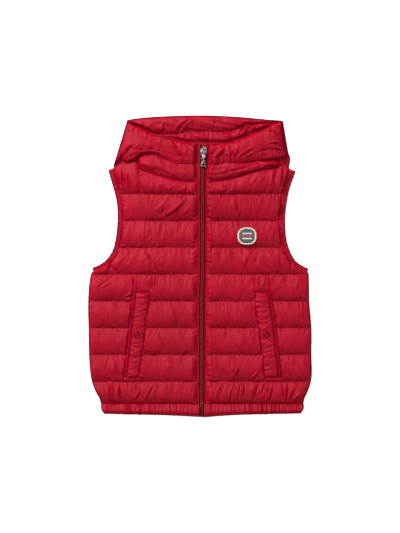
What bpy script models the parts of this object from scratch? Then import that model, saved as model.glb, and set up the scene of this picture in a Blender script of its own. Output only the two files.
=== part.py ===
"""A child's quilted puffer vest with a hood, zipped up and laid flat on its back.

The origin is under the middle of the laid vest. +X is the wearer's left, +Y runs towards the hood, and
+Z is up, away from the surface. Sizes below are in millimetres, and MM turns them into metres.
"Left" and "right" in names are the wearer's.
"""

import math
from collections import namedtuple

import bmesh
import bpy
import numpy as np
from mathutils import Matrix

MM = 0.001

# Layers, from the surface up.
SEAM_GAP = 0.3  # between pieces sewn edge to edge
LAYER_GAP = 0.5  # between pieces that lie on each other
BACK_THICK = 4.6  # back panel, its down pressed flat
HOOD_UNDER = 8.0  # hood cloth folded under the back
SEAM_WALL = 2.2  # a front panel at its stitched lines
EDGE_WALL = 1.4  # a front panel at its outer edge
CROWN = 8.0  # rise of a down channel over its stitched lines
EDGE_ROUND = 17.0  # how far in from the side a channel reaches its full height
EDGE_LIFT = 1.6  # how far the back's outer edge curls up off the surface

# Quilting of the body.
QUILT_TOP_Y = 126.0
QUILT_PITCH = 46.8
QUILT_LINES = 8
HEM_Y = -240.0  # seam between body and hem band
HEM_BOTTOM_Y = -258.0
SIDE_SCALLOP = 1.3  # how far a stitched line draws the side in

# Hood: its cloth hidden under the back is a rounded patch this wide and deep below the shoulders.
HOOD_MID_X = 2.5
HOOD_HALF = 151.5
HOOD_ROOT_Y = 173.0
HOOD_DEEP = 83.0
HOOD_SQUARENESS = 2.6
RIM_CROWN = 13.0
RIM_ROLL = 0.55  # height of the rim's rolled edge, as a share of its crown
LOWER_CROWN = 10.0
LOWER_END_X = {-1: 104.0, 1: 141.0}  # where the lower channel goes in under each shoulder
RIM_BOW = {-1: 0.0, 1: 2.4}  # how far the rim's end is drawn in between its two corners
LINING_LOWER = 3.0  # puff of the lining below and above its fold
LINING_UPPER = 7.0

# Zip, down the middle of the front.
ZIP_X = 6.0
ZIP_OPENING = 6.3  # from the zip's middle to each front edge
ZIP_STRIP = 6.0  # stitched strip along each front edge
CHAIN_HALF = 3.0
CHAIN_THICK = 2.5
TAPE_INNER = 3.3
TAPE_OUTER = 11.0
TAPE_THICK = 0.9
ZIP_TOP_Y = 211.0
ZIP_BOTTOM_Y = -260.0

# Slider and pull tab.
SLIDER_Y = 200.5
SLIDER_LONG = 15.0
SLIDER_HALF = 5.6
SLIDER_WALL = 1.5
SLIDER_CLEAR = 0.5
PIN_Y = 196.5  # the pull tab turns about this pin
PIN_RISE = 2.1  # pin's axis above the slider's plate
PIN_RADIUS = 0.8
EYE_INNER = 1.2
EYE_OUTER = 2.0
EYE_HALF = 2.2
EAR_INNER = 2.8
EAR_OUTER = 3.9
PULL_THICK = 1.5
PULL_TILT = 6.0  # degrees that the tab hangs down at rest

# Trims.
BINDING_WIDE = 6.5
BINDING_THICK = 2.0
BINDING_LOW = 1.4  # its lower strip's height off the hood or the surface
WELT_WALL = 2.6
WELT_CROWN = 4.0
PIPING_WIDE = 4.6
PIPING_TALL = 4.2
SNAP_RADIUS = 5.8
SNAP_SEAT = 8.0
PATCH_X = 82.3
PATCH_Y = 53.0
PATCH_HALF_X = 16.5
PATCH_HALF_Y = 15.0
PATCH_THICK = 1.6
PATCH_RISE = 0.82 * CROWN  # height of the even seat under the patch
HEM_THICK = 3.2
HEM_GATHER = 1.3
HEM_GATHER_PITCH = 9.5
HEM_ROWS = (0.0, 0.2, 0.6, 0.9, 1.0)
COLUMNS_A_GATHER = 4

# Plan outlines. x is negative on the wearer's right, and the two sides differ as the cloth lies.
Pair = namedtuple("Pair", "right_x right_y left_x left_y")
ARMHOLE = [
    Pair(-160.0, 168.0, 167.0, 165.0),
    Pair(-158.0, 160.0, 164.5, 158.0),
    Pair(-151.0, 135.5, 156.8, 136.0),
    Pair(-145.6, 113.0, 151.4, 109.5),
    Pair(-144.0, 84.0, 149.0, 82.0),
    Pair(-146.7, 52.5, 150.5, 52.5),
    Pair(-152.6, 28.4, 155.8, 31.0),
    Pair(-163.5, 12.0, 166.0, 11.5),
    Pair(-176.5, 2.8, 178.5, 2.0),
    Pair(-189.3, -2.5, 190.6, -4.0),
]

Span = namedtuple("Span", "y right_x left_x")
SIDE = [
    Span(-240.0, -173.0, 180.6),
    Span(-233.0, -174.6, 181.9),
    Span(-220.0, -181.6, 187.6),
    Span(-208.0, -187.0, 192.4),
    Span(-195.0, -190.5, 195.2),
    Span(-178.0, -192.4, 195.7),
    Span(-154.0, -194.2, 194.9),
    Span(-108.0, -194.9, 195.0),
    Span(-68.0, -195.7, 191.6),
    Span(-36.0, -194.2, 190.8),
    Span(-14.0, -191.0, 190.3),
]
HEM_SIDE = [
    Span(-240.0, -173.0, 180.9),
    Span(-247.5, -173.2, 180.6),
    Span(-254.5, -171.0, 175.6),
    Span(-258.5, -166.0, 170.5),
]

Point = namedtuple("Point", "x y")
HEM_EDGE = [
    Point(-175.0, -257.2),
    Point(-131.6, -258.4),
    Point(-63.0, -260.0),
    Point(-4.6, -262.7),
    Point(10.9, -263.4),
    Point(29.0, -261.8),
    Point(75.0, -259.2),
    Point(145.0, -257.6),
    Point(181.0, -256.6),
]
# Seam between each front and the hood, from the zip out to the shoulder tip.
NECK = [
    Point(-160.0, 168.0),
    Point(-149.0, 173.2),
    Point(-138.0, 180.0),
    Point(-128.0, 179.8),
    Point(-118.0, 183.2),
    Point(-111.0, 181.5),
    Point(-104.0, 170.6),
    Point(-85.6, 163.2),
    Point(-69.7, 158.0),
    Point(-53.6, 153.7),
    Point(-32.0, 149.2),
    Point(-5.0, 148.0),
    Point(15.9, 147.5),
    Point(45.0, 151.0),
    Point(67.4, 156.5),
    Point(87.0, 163.4),
    Point(99.0, 166.8),
    Point(112.0, 169.4),
    Point(124.0, 171.0),
    Point(134.0, 173.0),
    Point(142.0, 176.4),
    Point(148.0, 177.0),
    Point(155.0, 172.4),
    Point(167.0, 165.0),
]
# Lower edge of the hood's rim channel, where it rolls over the channel below it.
RIM = [
    Point(-151.2, 176.0),
    Point(-145.0, 182.8),
    Point(-136.0, 186.0),
    Point(-128.4, 181.6),
    Point(-118.0, 185.2),
    Point(-109.2, 188.4),
    Point(-100.6, 193.9),
    Point(-87.9, 196.5),
    Point(-77.0, 195.5),
    Point(-67.4, 190.0),
    Point(-53.9, 184.8),
    Point(-40.0, 180.4),
    Point(-5.0, 180.0),
    Point(15.0, 178.8),
    Point(45.0, 180.5),
    Point(80.0, 181.2),
    Point(106.0, 184.6),
    Point(132.0, 187.0),
    Point(145.0, 191.0),
    Point(151.5, 196.5),
]
# Edge of the hood's opening.
MOUTH = [
    Point(-127.4, 253.4),
    Point(-112.4, 244.8),
    Point(-96.4, 236.8),
    Point(-83.5, 230.8),
    Point(-69.7, 227.2),
    Point(-55.7, 223.3),
    Point(-42.7, 220.2),
    Point(-26.8, 215.8),
    Point(-5.0, 214.4),
    Point(14.9, 213.9),
    Point(45.0, 214.6),
    Point(60.6, 217.9),
    Point(78.4, 225.8),
    Point(95.2, 232.4),
    Point(112.0, 239.0),
    Point(123.0, 246.0),
    Point(138.6, 251.3),
    Point(144.2, 253.6),
]
# Fold across the hood's back, seen inside the opening.
HOOD_FOLD = [
    Point(-128.0, 251.0),
    Point(-100.0, 240.5),
    Point(-87.0, 235.0),
    Point(42.0, 234.5),
    Point(72.0, 242.0),
    Point(84.0, 248.0),
    Point(144.6, 253.0),
]
HOOD_TOP = [
    Point(-126.8, 255.7),
    Point(-107.0, 258.7),
    Point(-69.7, 261.5),
    Point(-32.0, 263.0),
    Point(7.4, 263.4),
    Point(39.4, 262.4),
    Point(73.0, 260.4),
    Point(106.4, 257.4),
    Point(132.0, 255.4),
    Point(144.6, 254.8),
]
HOOD_SIDE = [
    Span(173.0, -151.0, 155.6),
    Span(178.0, -150.2, 156.0),
    Span(186.0, -147.6, 157.4),
    Span(193.0, -145.4, 156.8),
    Span(202.0, -142.2, 152.8),
    Span(211.0, -139.2, 149.6),
    Span(226.0, -134.8, 146.8),
    Span(239.0, -131.2, 145.4),
    Span(256.0, -126.6, 144.2),
]

# Pocket welts: the stitched inner edge and the open outer edge at each height.
Welt = namedtuple("Welt", "y right_inner right_outer left_inner left_outer")
WELT = [
    Welt(-45.2, -87.4, -111.4, 96.1, 118.9),
    Welt(-83.0, -92.4, -115.6, 99.0, 125.4),
    Welt(-110.0, -95.9, -118.6, 103.6, 128.2),
    Welt(-135.0, -99.2, -121.3, 107.1, 131.0),
    Welt(-161.0, -102.5, -124.2, 110.7, 134.0),
    Welt(-190.0, -106.3, -127.4, 113.0, 137.2),
    Welt(-200.5, -107.6, -128.5, 113.6, 138.3),
]
Spot = namedtuple("Spot", "name x y")
SNAPS = [Spot("pocket_snap_right", -110.4, -118.3), Spot("pocket_snap_left", 115.7, -118.0)]

# The pull tab's outline: half width at each distance below the pin.
Tab = namedtuple("Tab", "down half")
TAB = [
    Tab(1.5, 2.2),
    Tab(4.6, 3.5),
    Tab(8.0, 3.6),
    Tab(11.5, 2.3),
    Tab(14.0, 2.5),
    Tab(17.5, 4.1),
    Tab(21.8, 4.5),
    Tab(23.0, 3.6),
]

# Largest folds of the fronts and hood. A negative height is a trough.
Fold = namedtuple("Fold", "x0 y0 x1 y1 half_width height")
BODY_FOLDS = [
    Fold(-68.0, 91.0, -21.0, 119.0, 6.0, 2.2),
    Fold(-56.0, 86.0, -28.0, 110.0, 6.0, -1.4),
    Fold(-94.0, 30.0, -72.0, -6.0, 7.0, -1.8),
    Fold(-161.0, 8.0, -147.0, -8.0, 7.0, -1.8),
    Fold(-48.0, -70.0, -43.0, -98.0, 8.0, 1.4),
    Fold(-87.0, -20.0, -87.0, -42.0, 7.0, -1.4),
    Fold(-150.0, -160.0, -146.0, -192.0, 9.0, 1.3),
    Fold(58.0, 118.0, 70.0, 88.0, 7.0, 1.5),
    Fold(70.0, 16.0, 80.0, -8.0, 7.0, -1.5),
    Fold(111.0, 18.0, 125.0, -10.0, 7.0, -1.7),
    Fold(139.0, 12.0, 150.0, -11.0, 7.0, -1.6),
    Fold(31.0, -166.0, 45.0, -192.0, 7.0, -1.5),
    Fold(58.0, -166.0, 67.0, -188.0, 7.0, 1.3),
    Fold(89.0, -180.0, 104.0, -200.0, 7.0, -1.3),
    Fold(-155.0, -212.0, -156.0, -238.0, 6.0, -1.8),
    Fold(-139.0, -208.0, -138.0, -238.0, 6.0, -1.6),
    Fold(-104.0, -216.0, -114.0, -236.0, 6.0, 1.5),
    Fold(-85.0, -210.0, -97.0, -234.0, 6.0, 1.4),
    Fold(37.0, -212.0, 36.0, -238.0, 6.0, -1.5),
    Fold(72.0, -210.0, 74.0, -238.0, 6.0, -1.7),
    Fold(119.0, -212.0, 122.0, -238.0, 7.0, -1.7),
    Fold(151.0, -208.0, 151.0, -238.0, 7.0, -1.8),
]
HOOD_FOLDS = [
    Fold(-48.0, 213.0, -27.0, 184.0, 6.0, 2.6),
    Fold(-56.0, 212.0, -35.0, 184.0, 6.0, -1.8),
    Fold(-118.0, 222.0, -82.0, 202.0, 6.0, -2.4),
    Fold(-140.0, 200.0, -118.0, 216.0, 6.0, -2.0),
    Fold(20.0, 183.0, 42.0, 212.0, 6.0, -2.4),
    Fold(30.0, 183.0, 51.0, 210.0, 6.0, 2.0),
    Fold(56.0, 184.0, 88.0, 204.0, 7.0, -2.2),
    Fold(58.0, 184.0, 66.0, 212.0, 6.0, 1.8),
    Fold(100.0, 198.0, 145.0, 206.0, 7.0, -2.0),
    Fold(112.0, 224.0, 146.0, 216.0, 7.0, -1.8),
    Fold(-60.0, 176.0, -12.0, 156.0, 8.0, 1.6),
    Fold(60.0, 176.0, 98.0, 170.0, 6.0, -2.0),
]
LINING_FOLDS = [
    Fold(-72.0, 254.0, -88.0, 236.0, 6.0, -2.4),
    Fold(-18.0, 256.0, -34.0, 238.0, 6.0, -2.0),
    Fold(50.0, 222.0, 66.0, 240.0, 6.0, -2.6),
    Fold(70.0, 234.0, 86.0, 256.0, 7.0, -2.8),
    Fold(16.0, 216.0, 16.0, 232.0, 5.0, -2.0),
]

Row = namedtuple("Row", "y channel share")
# Where the rows of a down channel lie, as shares of its height.
CHANNEL_ROWS = (0.0, 0.13, 0.36, 0.64, 0.87)
ARMPIT_ROWS = (0.0, 0.1, 0.2, 0.31, 0.43, 0.56, 0.7, 0.87)
ARMPIT_CHANNEL = 5
SHOULDER_ROWS = (134.0, 143.0, 152.0, 161.0, 171.0)  # heights of the back's rows above the quilting
HOOD_HIDDEN_ROWS = (94.0, 103.0, 114.0, 127.0, 141.0, 156.0, 170.8)
HOOD_SHOWN_ROWS = (174.6, 186.0, 198.0)
HOOD_ACROSS = (0.0, 0.03, 0.07, 0.13, *np.linspace(0.21, 0.79, 11), 0.87, 0.93, 0.97, 1.0)
HOOD_CHANNEL_ROWS = (0.0, 0.08, 0.22, 0.4, 0.6, 0.8, 0.93, 1.0)
LAYERED_EDGE = ((0.0, 0.8), (-1.4, 0.5), (0.0, 0.2))  # a groove round the middle of the hood's edge
COLUMNS_TO_POCKET = 6
COLUMNS_OVER_POCKET = 2
COLUMNS_TO_SIDE = 3

Look = namedtuple("Look", "colour roughness metallic")
RED_CLOTH = Look((0.42, 0.008, 0.026), 0.55, 0.0)
RED_LINING = Look((0.34, 0.007, 0.022), 0.6, 0.0)
ZIP_CLOTH = Look((0.16, 0.015, 0.02), 0.75, 0.0)
ZIP_COIL = Look((0.12, 0.02, 0.02), 0.45, 0.0)
NICKEL = Look((0.62, 0.6, 0.57), 0.28, 1.0)
SNAP_ENAMEL = Look((0.3, 0.01, 0.03), 0.25, 0.3)
PATCH_CLOTH = Look((0.62, 0.58, 0.48), 0.8, 0.0)


def smooth(t):
    """0 below 0, 1 above 1, and an even rise between."""
    t = np.clip(t, 0.0, 1.0)
    return t * t * (3.0 - 2.0 * t)


def rounded(distance, reach):
    """Quarter-round rise from 0 at an edge to 1 at reach."""
    t = np.clip(distance / reach, 0.0, 1.0)
    return np.sqrt(1.0 - (1.0 - t) ** 2)


def flow(points, steps=8):
    """A smooth line through plan points, with steps samples for each stretch."""
    p = np.array(points, float)
    p = np.vstack([2 * p[0] - p[1], p, 2 * p[-1] - p[-2]])
    t = np.arange(steps)[:, None] / steps
    line = []
    for a, b, c, d in zip(p, p[1:], p[2:], p[3:]):
        line.append(b + 0.5 * t * (c - a + t * (2 * a - 5 * b + 4 * c - d + t * (3 * (b - c) + d - a))))
    return np.vstack([*line, p[-2]])


def curve_y(table, x):
    """Height in plan of a table's smooth line at x."""
    line = flow([(p.x, p.y) for p in table])
    return np.interp(x, line[:, 0], line[:, 1])


def armhole_line(side, inset=0.0):
    """An armhole's outline from shoulder tip to underarm, moved in from its edge."""
    pick = (lambda p: (p.left_x, p.left_y)) if side > 0 else (lambda p: (p.right_x, p.right_y))
    line = flow([pick(p) for p in ARMHOLE], 6)
    along = np.gradient(line, axis=0)
    along /= np.linalg.norm(along, axis=1)[:, None]
    inward = np.stack([along[:, 1], -along[:, 0]], axis=1) * side
    return line + inward * inset, inward


def outer_x(y, side):
    """A body panel's outer edge: inside the armhole binding above the underarm, the side seam below it."""
    arm, _ = armhole_line(side, BINDING_WIDE + 2 * SEAM_GAP)
    low = flow([(s.left_x if side > 0 else s.right_x, s.y) for s in SIDE])
    line = np.vstack([low, arm[::-1]])
    return np.interp(y, line[:, 1], line[:, 0])


def hood_radius(x, y):
    """1 on the plan outline of the hood cloth folded under the back, less inside it."""
    across = np.abs(x - HOOD_MID_X) / HOOD_HALF
    down = np.clip(HOOD_ROOT_Y - y, 0.0, None) / HOOD_DEEP
    return (across**HOOD_SQUARENESS + down**HOOD_SQUARENESS) ** (1 / HOOD_SQUARENESS)


def lift(x, y):
    """How far the folded hood holds the back off the surface."""
    return HOOD_UNDER * smooth((1.2 - hood_radius(x, y)) / 0.75)


def bed(x, y):
    """Top of the back layer, on which the front layer lies."""
    return lift(x, y) + BACK_THICK


def front_floor(x, y):
    """Underside of the front layer, raised over the zip tapes."""
    under_zip = smooth((TAPE_OUTER + 5.0 - np.abs(x - ZIP_X)) / 5.0)
    return bed(x, y) + LAYER_GAP + under_zip * (TAPE_THICK + LAYER_GAP)


def fold_relief(x, y, folds):
    """Soft ridges and troughs along the folds of a table."""
    relief = np.zeros_like(x)
    for f in folds:
        run = np.array([f.x1 - f.x0, f.y1 - f.y0])
        long = np.linalg.norm(run)
        along = ((x - f.x0) * run[0] + (y - f.y0) * run[1]) / long
        off = ((x - f.x0) * run[1] - (y - f.y0) * run[0]) / long
        share = np.clip(along / long, 0.0, 1.0)
        beyond = np.abs(along - share * long)
        ends = np.sin(math.pi * np.clip(share * 0.9 + 0.05, 0, 1)) * np.exp(-((beyond / f.half_width) ** 2))
        relief += f.height * ends * np.exp(-((off / f.half_width) ** 2))
    return relief


def channel_profile(share):
    """Height of a down channel from one stitched line (0) to the next (1)."""
    return np.sin(math.pi * np.clip(share, 0.0, 1.0)) ** 0.75


def unevenness(x, number):
    """How the down's thickness wanders along a channel."""
    return 1.0 + 0.09 * np.sin(x / 29.0 + 2.1 * number) + 0.06 * np.sin(x / 15.0 + 1.3 * number)


def welt_at(y, side):
    """x of a pocket welt's inner and outer edge at a height."""
    ys = [w.y for w in reversed(WELT)]
    inner = np.interp(y, ys, [(w.left_inner if side > 0 else w.right_inner) for w in reversed(WELT)])
    outer = np.interp(y, ys, [(w.left_outer if side > 0 else w.right_outer) for w in reversed(WELT)])
    return inner, outer


def columns(y, side, outer):
    """x of each column from the zip edge to the outer edge: closer at both edges, and along the pocket."""
    welt_inner, welt_outer = welt_at(y, side)
    stops = [
        (ZIP_OPENING + ZIP_STRIP + 3.5, 0),
        (abs(welt_inner - ZIP_X) - 2.5, COLUMNS_TO_POCKET),
        (abs(welt_outer - ZIP_X) + PIPING_WIDE + 2.5, COLUMNS_OVER_POCKET),
        (abs(outer - ZIP_X) - 9.0, COLUMNS_TO_SIDE),
    ]
    reach = [ZIP_OPENING, ZIP_OPENING + ZIP_STRIP, stops[0][0]]
    for (start, _), (stop, between) in zip(stops, stops[1:]):
        reach += [start + (stop - start) * (k + 1) / (between + 1) for k in range(between + 1)]
    reach += [abs(outer - ZIP_X) - 4.0, abs(outer - ZIP_X)]
    return ZIP_X + side * np.array(reach)


def zip_edge(side):
    return ZIP_X + side * ZIP_OPENING


def mesh_object(name, vertices, faces, look, origin=(0.0, 0.0, 0.0)):
    """An object from points in millimetres, its faces turned outwards."""
    centre = np.array(origin)
    mesh = bpy.data.meshes.new(name)
    mesh.from_pydata(((np.array(vertices) - centre) * MM).tolist(), [], faces)
    b = bmesh.new()
    b.from_mesh(mesh)
    bmesh.ops.recalc_face_normals(b, faces=b.faces)
    b.to_mesh(mesh)
    b.free()
    mesh.shade_smooth()
    mesh.set_sharp_from_angle(angle=math.radians(50))
    obj = bpy.data.objects.new(name, mesh)
    obj.location = centre * MM
    bpy.context.scene.collection.objects.link(obj)
    paint(obj, look)
    return obj


def paint(obj, look):
    material = bpy.data.materials.new(obj.name)
    material.use_nodes = True
    surface = material.node_tree.nodes["Principled BSDF"]
    surface.inputs["Base Color"].default_value = (*look.colour, 1.0)
    surface.inputs["Roughness"].default_value = look.roughness
    surface.inputs["Metallic"].default_value = look.metallic
    obj.data.materials.append(material)


def sheet_solid(name, plan, top, floor, look, rings=()):
    """A closed solid between two heights over one grid of plan points. Each ring is (outset, share of the
    height) of a loop round the edge, for an edge with more than one layer."""
    rows, count = plan.shape[:2]
    edge = [(0, j) for j in range(count)]
    edge += [(i, count - 1) for i in range(1, rows)]
    edge += [(rows - 1, j) for j in range(count - 2, -1, -1)]
    edge += [(i, 0) for i in range(rows - 2, 0, -1)]
    vertices = [(*plan[i, j], z[i, j]) for z in (top, floor) for i in range(rows) for j in range(count)]
    at = lambda layer, i, j: layer * rows * count + i * count + j
    faces = []
    for i in range(rows - 1):
        for j in range(count - 1):
            quad = [(i, j), (i, j + 1), (i + 1, j + 1), (i + 1, j)]
            faces.append([at(0, *q) for q in quad])
            faces.append([at(1, *q) for q in reversed(quad)])
    loop = np.array([plan[i, j] for i, j in edge])
    along = np.roll(loop, -1, axis=0) - np.roll(loop, 1, axis=0)
    along /= np.linalg.norm(along, axis=1)[:, None]
    turn = np.sum(loop[:, 0] * np.roll(loop[:, 1], -1) - np.roll(loop[:, 0], -1) * loop[:, 1])
    outward = np.stack([along[:, 1], -along[:, 0]], axis=1) * np.sign(turn)
    loops = [[at(0, i, j) for i, j in edge]]
    for outset, share in rings:
        start = len(vertices)
        for n, (i, j) in enumerate(edge):
            x, y = loop[n] + outward[n] * outset
            vertices.append((x, y, floor[i, j] + share * (top[i, j] - floor[i, j])))
        loops.append(list(range(start, start + len(edge))))
    loops.append([at(1, i, j) for i, j in edge])
    for upper, lower in zip(loops, loops[1:]):
        for n in range(len(edge)):
            m = (n + 1) % len(edge)
            faces.append([upper[n], upper[m], lower[m], lower[n]])
    return mesh_object(name, vertices, faces, look)


def body_rows():
    """Each row of the body below its top channel: height in plan, channel number and place in the channel."""
    lines = [HEM_Y + SEAM_GAP]
    lines += [QUILT_TOP_Y - QUILT_PITCH * k for k in range(QUILT_LINES - 1, -1, -1)]
    rows = []
    for k, (low, high) in enumerate(zip(lines, lines[1:])):
        for t in ARMPIT_ROWS if k == ARMPIT_CHANNEL else CHANNEL_ROWS:
            rows.append(Row(low + (high - low) * t, k, t))
    return rows


def front_plan(side):
    """Plan points of a front, with its channel number and place in the channel at each."""
    plan, number, share = [], [], []
    for row in body_rows():
        pinch = SIDE_SCALLOP * (1 - channel_profile(row.share)) * smooth(-row.y / 15.0)
        x = columns(row.y, side, outer_x(row.y, side) - side * pinch)
        plan.append(np.stack([x, np.full_like(x, row.y)], axis=1))
        number.append(np.full_like(x, row.channel))
        share.append(np.full_like(x, row.share))
    for t in (*CHANNEL_ROWS, 1.0):
        edge_y = QUILT_TOP_Y + (NECK[0].y - 2.0 - QUILT_TOP_Y) * t
        x = columns(edge_y, side, outer_x(edge_y, side))
        y = QUILT_TOP_Y + (curve_y(NECK, x) - SEAM_GAP / 2 - QUILT_TOP_Y) * t
        plan.append(np.stack([x, y], axis=1))
        number.append(np.full_like(x, QUILT_LINES))
        share.append(np.full_like(x, t))
    return np.array(plan), np.array(number), np.array(share)


def welt_mask(x, y, side):
    """1 away from a pocket, 0 where its welt and piping lie, so that they lie on an even floor."""
    inner, outer = welt_at(y, side)
    off = np.maximum((inner - x) * side, (x - outer) * side - PIPING_WIDE)
    beyond = np.maximum(y - WELT[0].y, WELT[-1].y - y)
    return smooth((np.maximum(off, beyond) - 2.6) / 9.0)


def body_front(side, name):
    """One quilted front, with its stitched strip along the zip."""
    plan, number, share = front_plan(side)
    x, y = plan[..., 0], plan[..., 1]
    floor = front_floor(x, y)
    from_zip = np.abs(x - zip_edge(side))
    from_edge = np.abs(x[:, -1:] - x)
    crown = CROWN * channel_profile(share) * unevenness(x, number)
    crown *= smooth((from_zip - ZIP_STRIP) / 11.0) * rounded(from_edge, EDGE_ROUND)
    crown += fold_relief(x, y, BODY_FOLDS) * smooth(from_zip / 15.0) * np.sqrt(channel_profile(share))
    crown = np.clip(crown, 0.0, None) * welt_mask(x, y, side)
    off_patch = np.maximum(np.abs(x - PATCH_X) / (PATCH_HALF_X + 5.5), np.abs(y - PATCH_Y) / PATCH_HALF_Y)
    crown += (PATCH_RISE - crown) * smooth((1.37 - off_patch) / 0.3)
    wall = EDGE_WALL + (SEAM_WALL - EDGE_WALL) * smooth(from_edge / 5.0)
    return sheet_solid(name, plan, floor + wall + crown, floor, RED_CLOTH)


def body_back():
    """The back, pressed flat under the fronts and lifted over the folded hood."""
    rows = [r.y for r in body_rows() if r.channel >= ARMPIT_CHANNEL or r.share in (0.0, 0.64)]
    tip_y = SHOULDER_ROWS[-1] - 5.0
    plan = []
    for y in (*rows, *SHOULDER_ROWS):
        right, left = (columns(y, side, outer_x(min(y, tip_y), side)) for side in (-1, 1))
        x = np.concatenate([right[:0:-2], left[::2]])
        slope = smooth((np.abs(x) - 148.0) / 10.0) * max(y - tip_y, 0.0)
        plan.append(np.stack([x, y - slope], axis=1))
    plan = np.array(plan)
    x, y = plan[..., 0], plan[..., 1]
    from_edge = np.minimum(x - x[:, :1], x[:, -1:] - x)
    floor = lift(x, y) + EDGE_LIFT * (1 - smooth(from_edge / 8.0))
    return sheet_solid("back_panel", plan, bed(x, y), floor, RED_CLOTH)


def hood_row(y):
    """Plan points across the hood's back at one height below its opening."""
    if y > HOOD_ROOT_Y:
        ys = [s.y for s in HOOD_SIDE]
        right = np.interp(y, ys, [s.right_x for s in HOOD_SIDE])
        left = np.interp(y, ys, [s.left_x for s in HOOD_SIDE])
    else:
        down = ((HOOD_ROOT_Y - y) / HOOD_DEEP) ** HOOD_SQUARENESS
        half = HOOD_HALF * (1 - down) ** (1 / HOOD_SQUARENESS)
        right, left = HOOD_MID_X - half, HOOD_MID_X + half
    x = right + (left - right) * np.array(HOOD_ACROSS)
    return np.stack([x, np.full_like(x, y)], axis=1)


def hood_back_plan():
    """Plan points of the hood's back: hidden, shown beside the rim, then seen inside the opening."""
    plan = [hood_row(y) for y in (*HOOD_HIDDEN_ROWS, *HOOD_SHOWN_ROWS)]
    low = plan[-1]
    top_x = HOOD_TOP[0].x + (HOOD_TOP[-1].x - HOOD_TOP[0].x) * np.array(HOOD_ACROSS)
    top = np.stack([top_x, curve_y(HOOD_TOP, top_x)], axis=1)
    mouth_y = np.minimum(curve_y(MOUTH, top_x) + 0.6, top[:, 1] - 9.0)
    fold_y = np.maximum(curve_y(HOOD_FOLD, top_x), mouth_y + 0.25 * (top[:, 1] - mouth_y))
    mouth, fold = (
        low + (top - low) * ((line_y - low[:, 1]) / (top[:, 1] - low[:, 1]))[:, None]
        for line_y in (mouth_y, fold_y)
    )
    plan += [low + (mouth - low) * t for t in (0.5, 1.0)]
    plan += [mouth + (fold - mouth) * t for t in (0.15, 0.4, 0.7, 0.9)]
    plan += [fold + (top - fold) * t for t in (0.0, 0.1, 0.3, 0.55, 0.8, 0.93, 1.0)]
    return np.array(plan)


def lining_puff(x, y):
    """Rise of the lining inside the opening, on both sides of its fold."""
    mouth_y, fold_y, top_y = (curve_y(table, x) for table in (MOUTH, HOOD_FOLD, HOOD_TOP))
    lower = LINING_LOWER * channel_profile((y - mouth_y) / np.maximum(fold_y - mouth_y, 1.0))
    above = (y - fold_y) / np.maximum(top_y - fold_y, 1.0)
    upper = LINING_UPPER * channel_profile(np.clip(above, 0.0, 0.5))
    puff = np.where(y < fold_y, lower, upper) + fold_relief(x, y, LINING_FOLDS)
    return np.clip(puff, -1.0, None) * smooth((y - mouth_y - 1.0) / 7.0) * rounded(top_y - y + 0.6, 13.0)


def hood_back():
    """The hood's folded back: one rounded solid, layered at its edge, with its lining seen in the opening."""
    plan = hood_back_plan()
    x, y = plan[..., 0], plan[..., 1]
    under = lift(x, y) - LAYER_GAP
    shown = smooth((y - HOOD_ROOT_Y + 2.0) / 3.4)
    top = under + (BACK_THICK + LAYER_GAP) * shown + lining_puff(x, y)
    side_edge = np.minimum(x - x[:, :1], x[:, -1:] - x)
    from_edge = np.minimum(side_edge, np.maximum(curve_y(HOOD_TOP, x) - y, 0.0))
    top -= (top - under) * 0.35 * (1 - rounded(from_edge, 11.0)) * shown
    floor = 1.2 * (1 - smooth(from_edge / 6.0)) * smooth((y - HOOD_ROOT_Y + 1.0) / 6.0)
    return sheet_solid("hood_back", plan, top, floor, RED_LINING, rings=LAYERED_EDGE)


def hood_front_lines(side):
    """The neck seam, the rim's lower edge and the opening's edge, with points that match across them."""
    inner = zip_edge(side)
    neck_x = columns(NECK[0].y, side, outer_x(NECK[0].y - 2.0, side))[:-1]
    lines = [np.stack([neck_x, curve_y(NECK, neck_x) + SEAM_GAP / 2], axis=1)]
    for table in (RIM, MOUTH):
        end_x = table[-1].x if side > 0 else table[0].x
        x = inner + (neck_x - inner) * (end_x - inner) / (neck_x[-1] - inner)
        lines.append(np.stack([x, curve_y(table, x)], axis=1))
    return lines


def hood_channel(name, low, high, side, crown_high, roll, end_round):
    """One padded channel of the hood's front, its far edge rolled by a share of its crown."""
    plan = np.array([low + (high - low) * t for t in HOOD_CHANNEL_ROWS])
    share = np.repeat(np.array(HOOD_CHANNEL_ROWS)[:, None], len(low), axis=1)
    drawn_in = RIM_BOW[side] * np.sin(math.pi * share) * smooth((np.abs(plan[..., 0]) - 105.0) / 40.0)
    plan[..., 0] -= side * drawn_in
    x, y = plan[..., 0], plan[..., 1]
    floor = front_floor(x, y)
    from_zip = np.abs(x - zip_edge(side))
    from_edge = np.abs(x[:, -1:] - x)
    crown = crown_high * channel_profile(share) * unevenness(x, 3.0)
    crown = np.maximum(crown, crown_high * roll * rounded(1.0 - share, 0.25) * smooth(share / 0.5))
    crown *= smooth((from_zip - ZIP_STRIP) / 13.0) * rounded(from_edge, end_round)
    crown += fold_relief(x, y, HOOD_FOLDS) * smooth(from_zip / 15.0) * np.sqrt(channel_profile(share))
    wall = EDGE_WALL + (SEAM_WALL - EDGE_WALL) * smooth(from_edge / 5.0)
    return sheet_solid(name, plan, floor + wall + np.clip(crown, 0.0, None), floor, RED_CLOTH)


def hood_front(side, word):
    """The hood's two channels on one side: the lower one on the neck seam, and the rim round the opening."""
    neck, rim, mouth = hood_front_lines(side)
    end = 1 + int(np.argmin(np.abs(np.abs(neck[:, 0]) - LOWER_END_X[side])))
    hood_channel(f"hood_lower_{word}", neck[:end], rim[:end], side, LOWER_CROWN, 0.0, 12.0)
    hood_channel(f"hood_rim_{word}", rim + (0.0, SEAM_GAP), mouth, side, RIM_CROWN, RIM_ROLL, 26.0)


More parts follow.
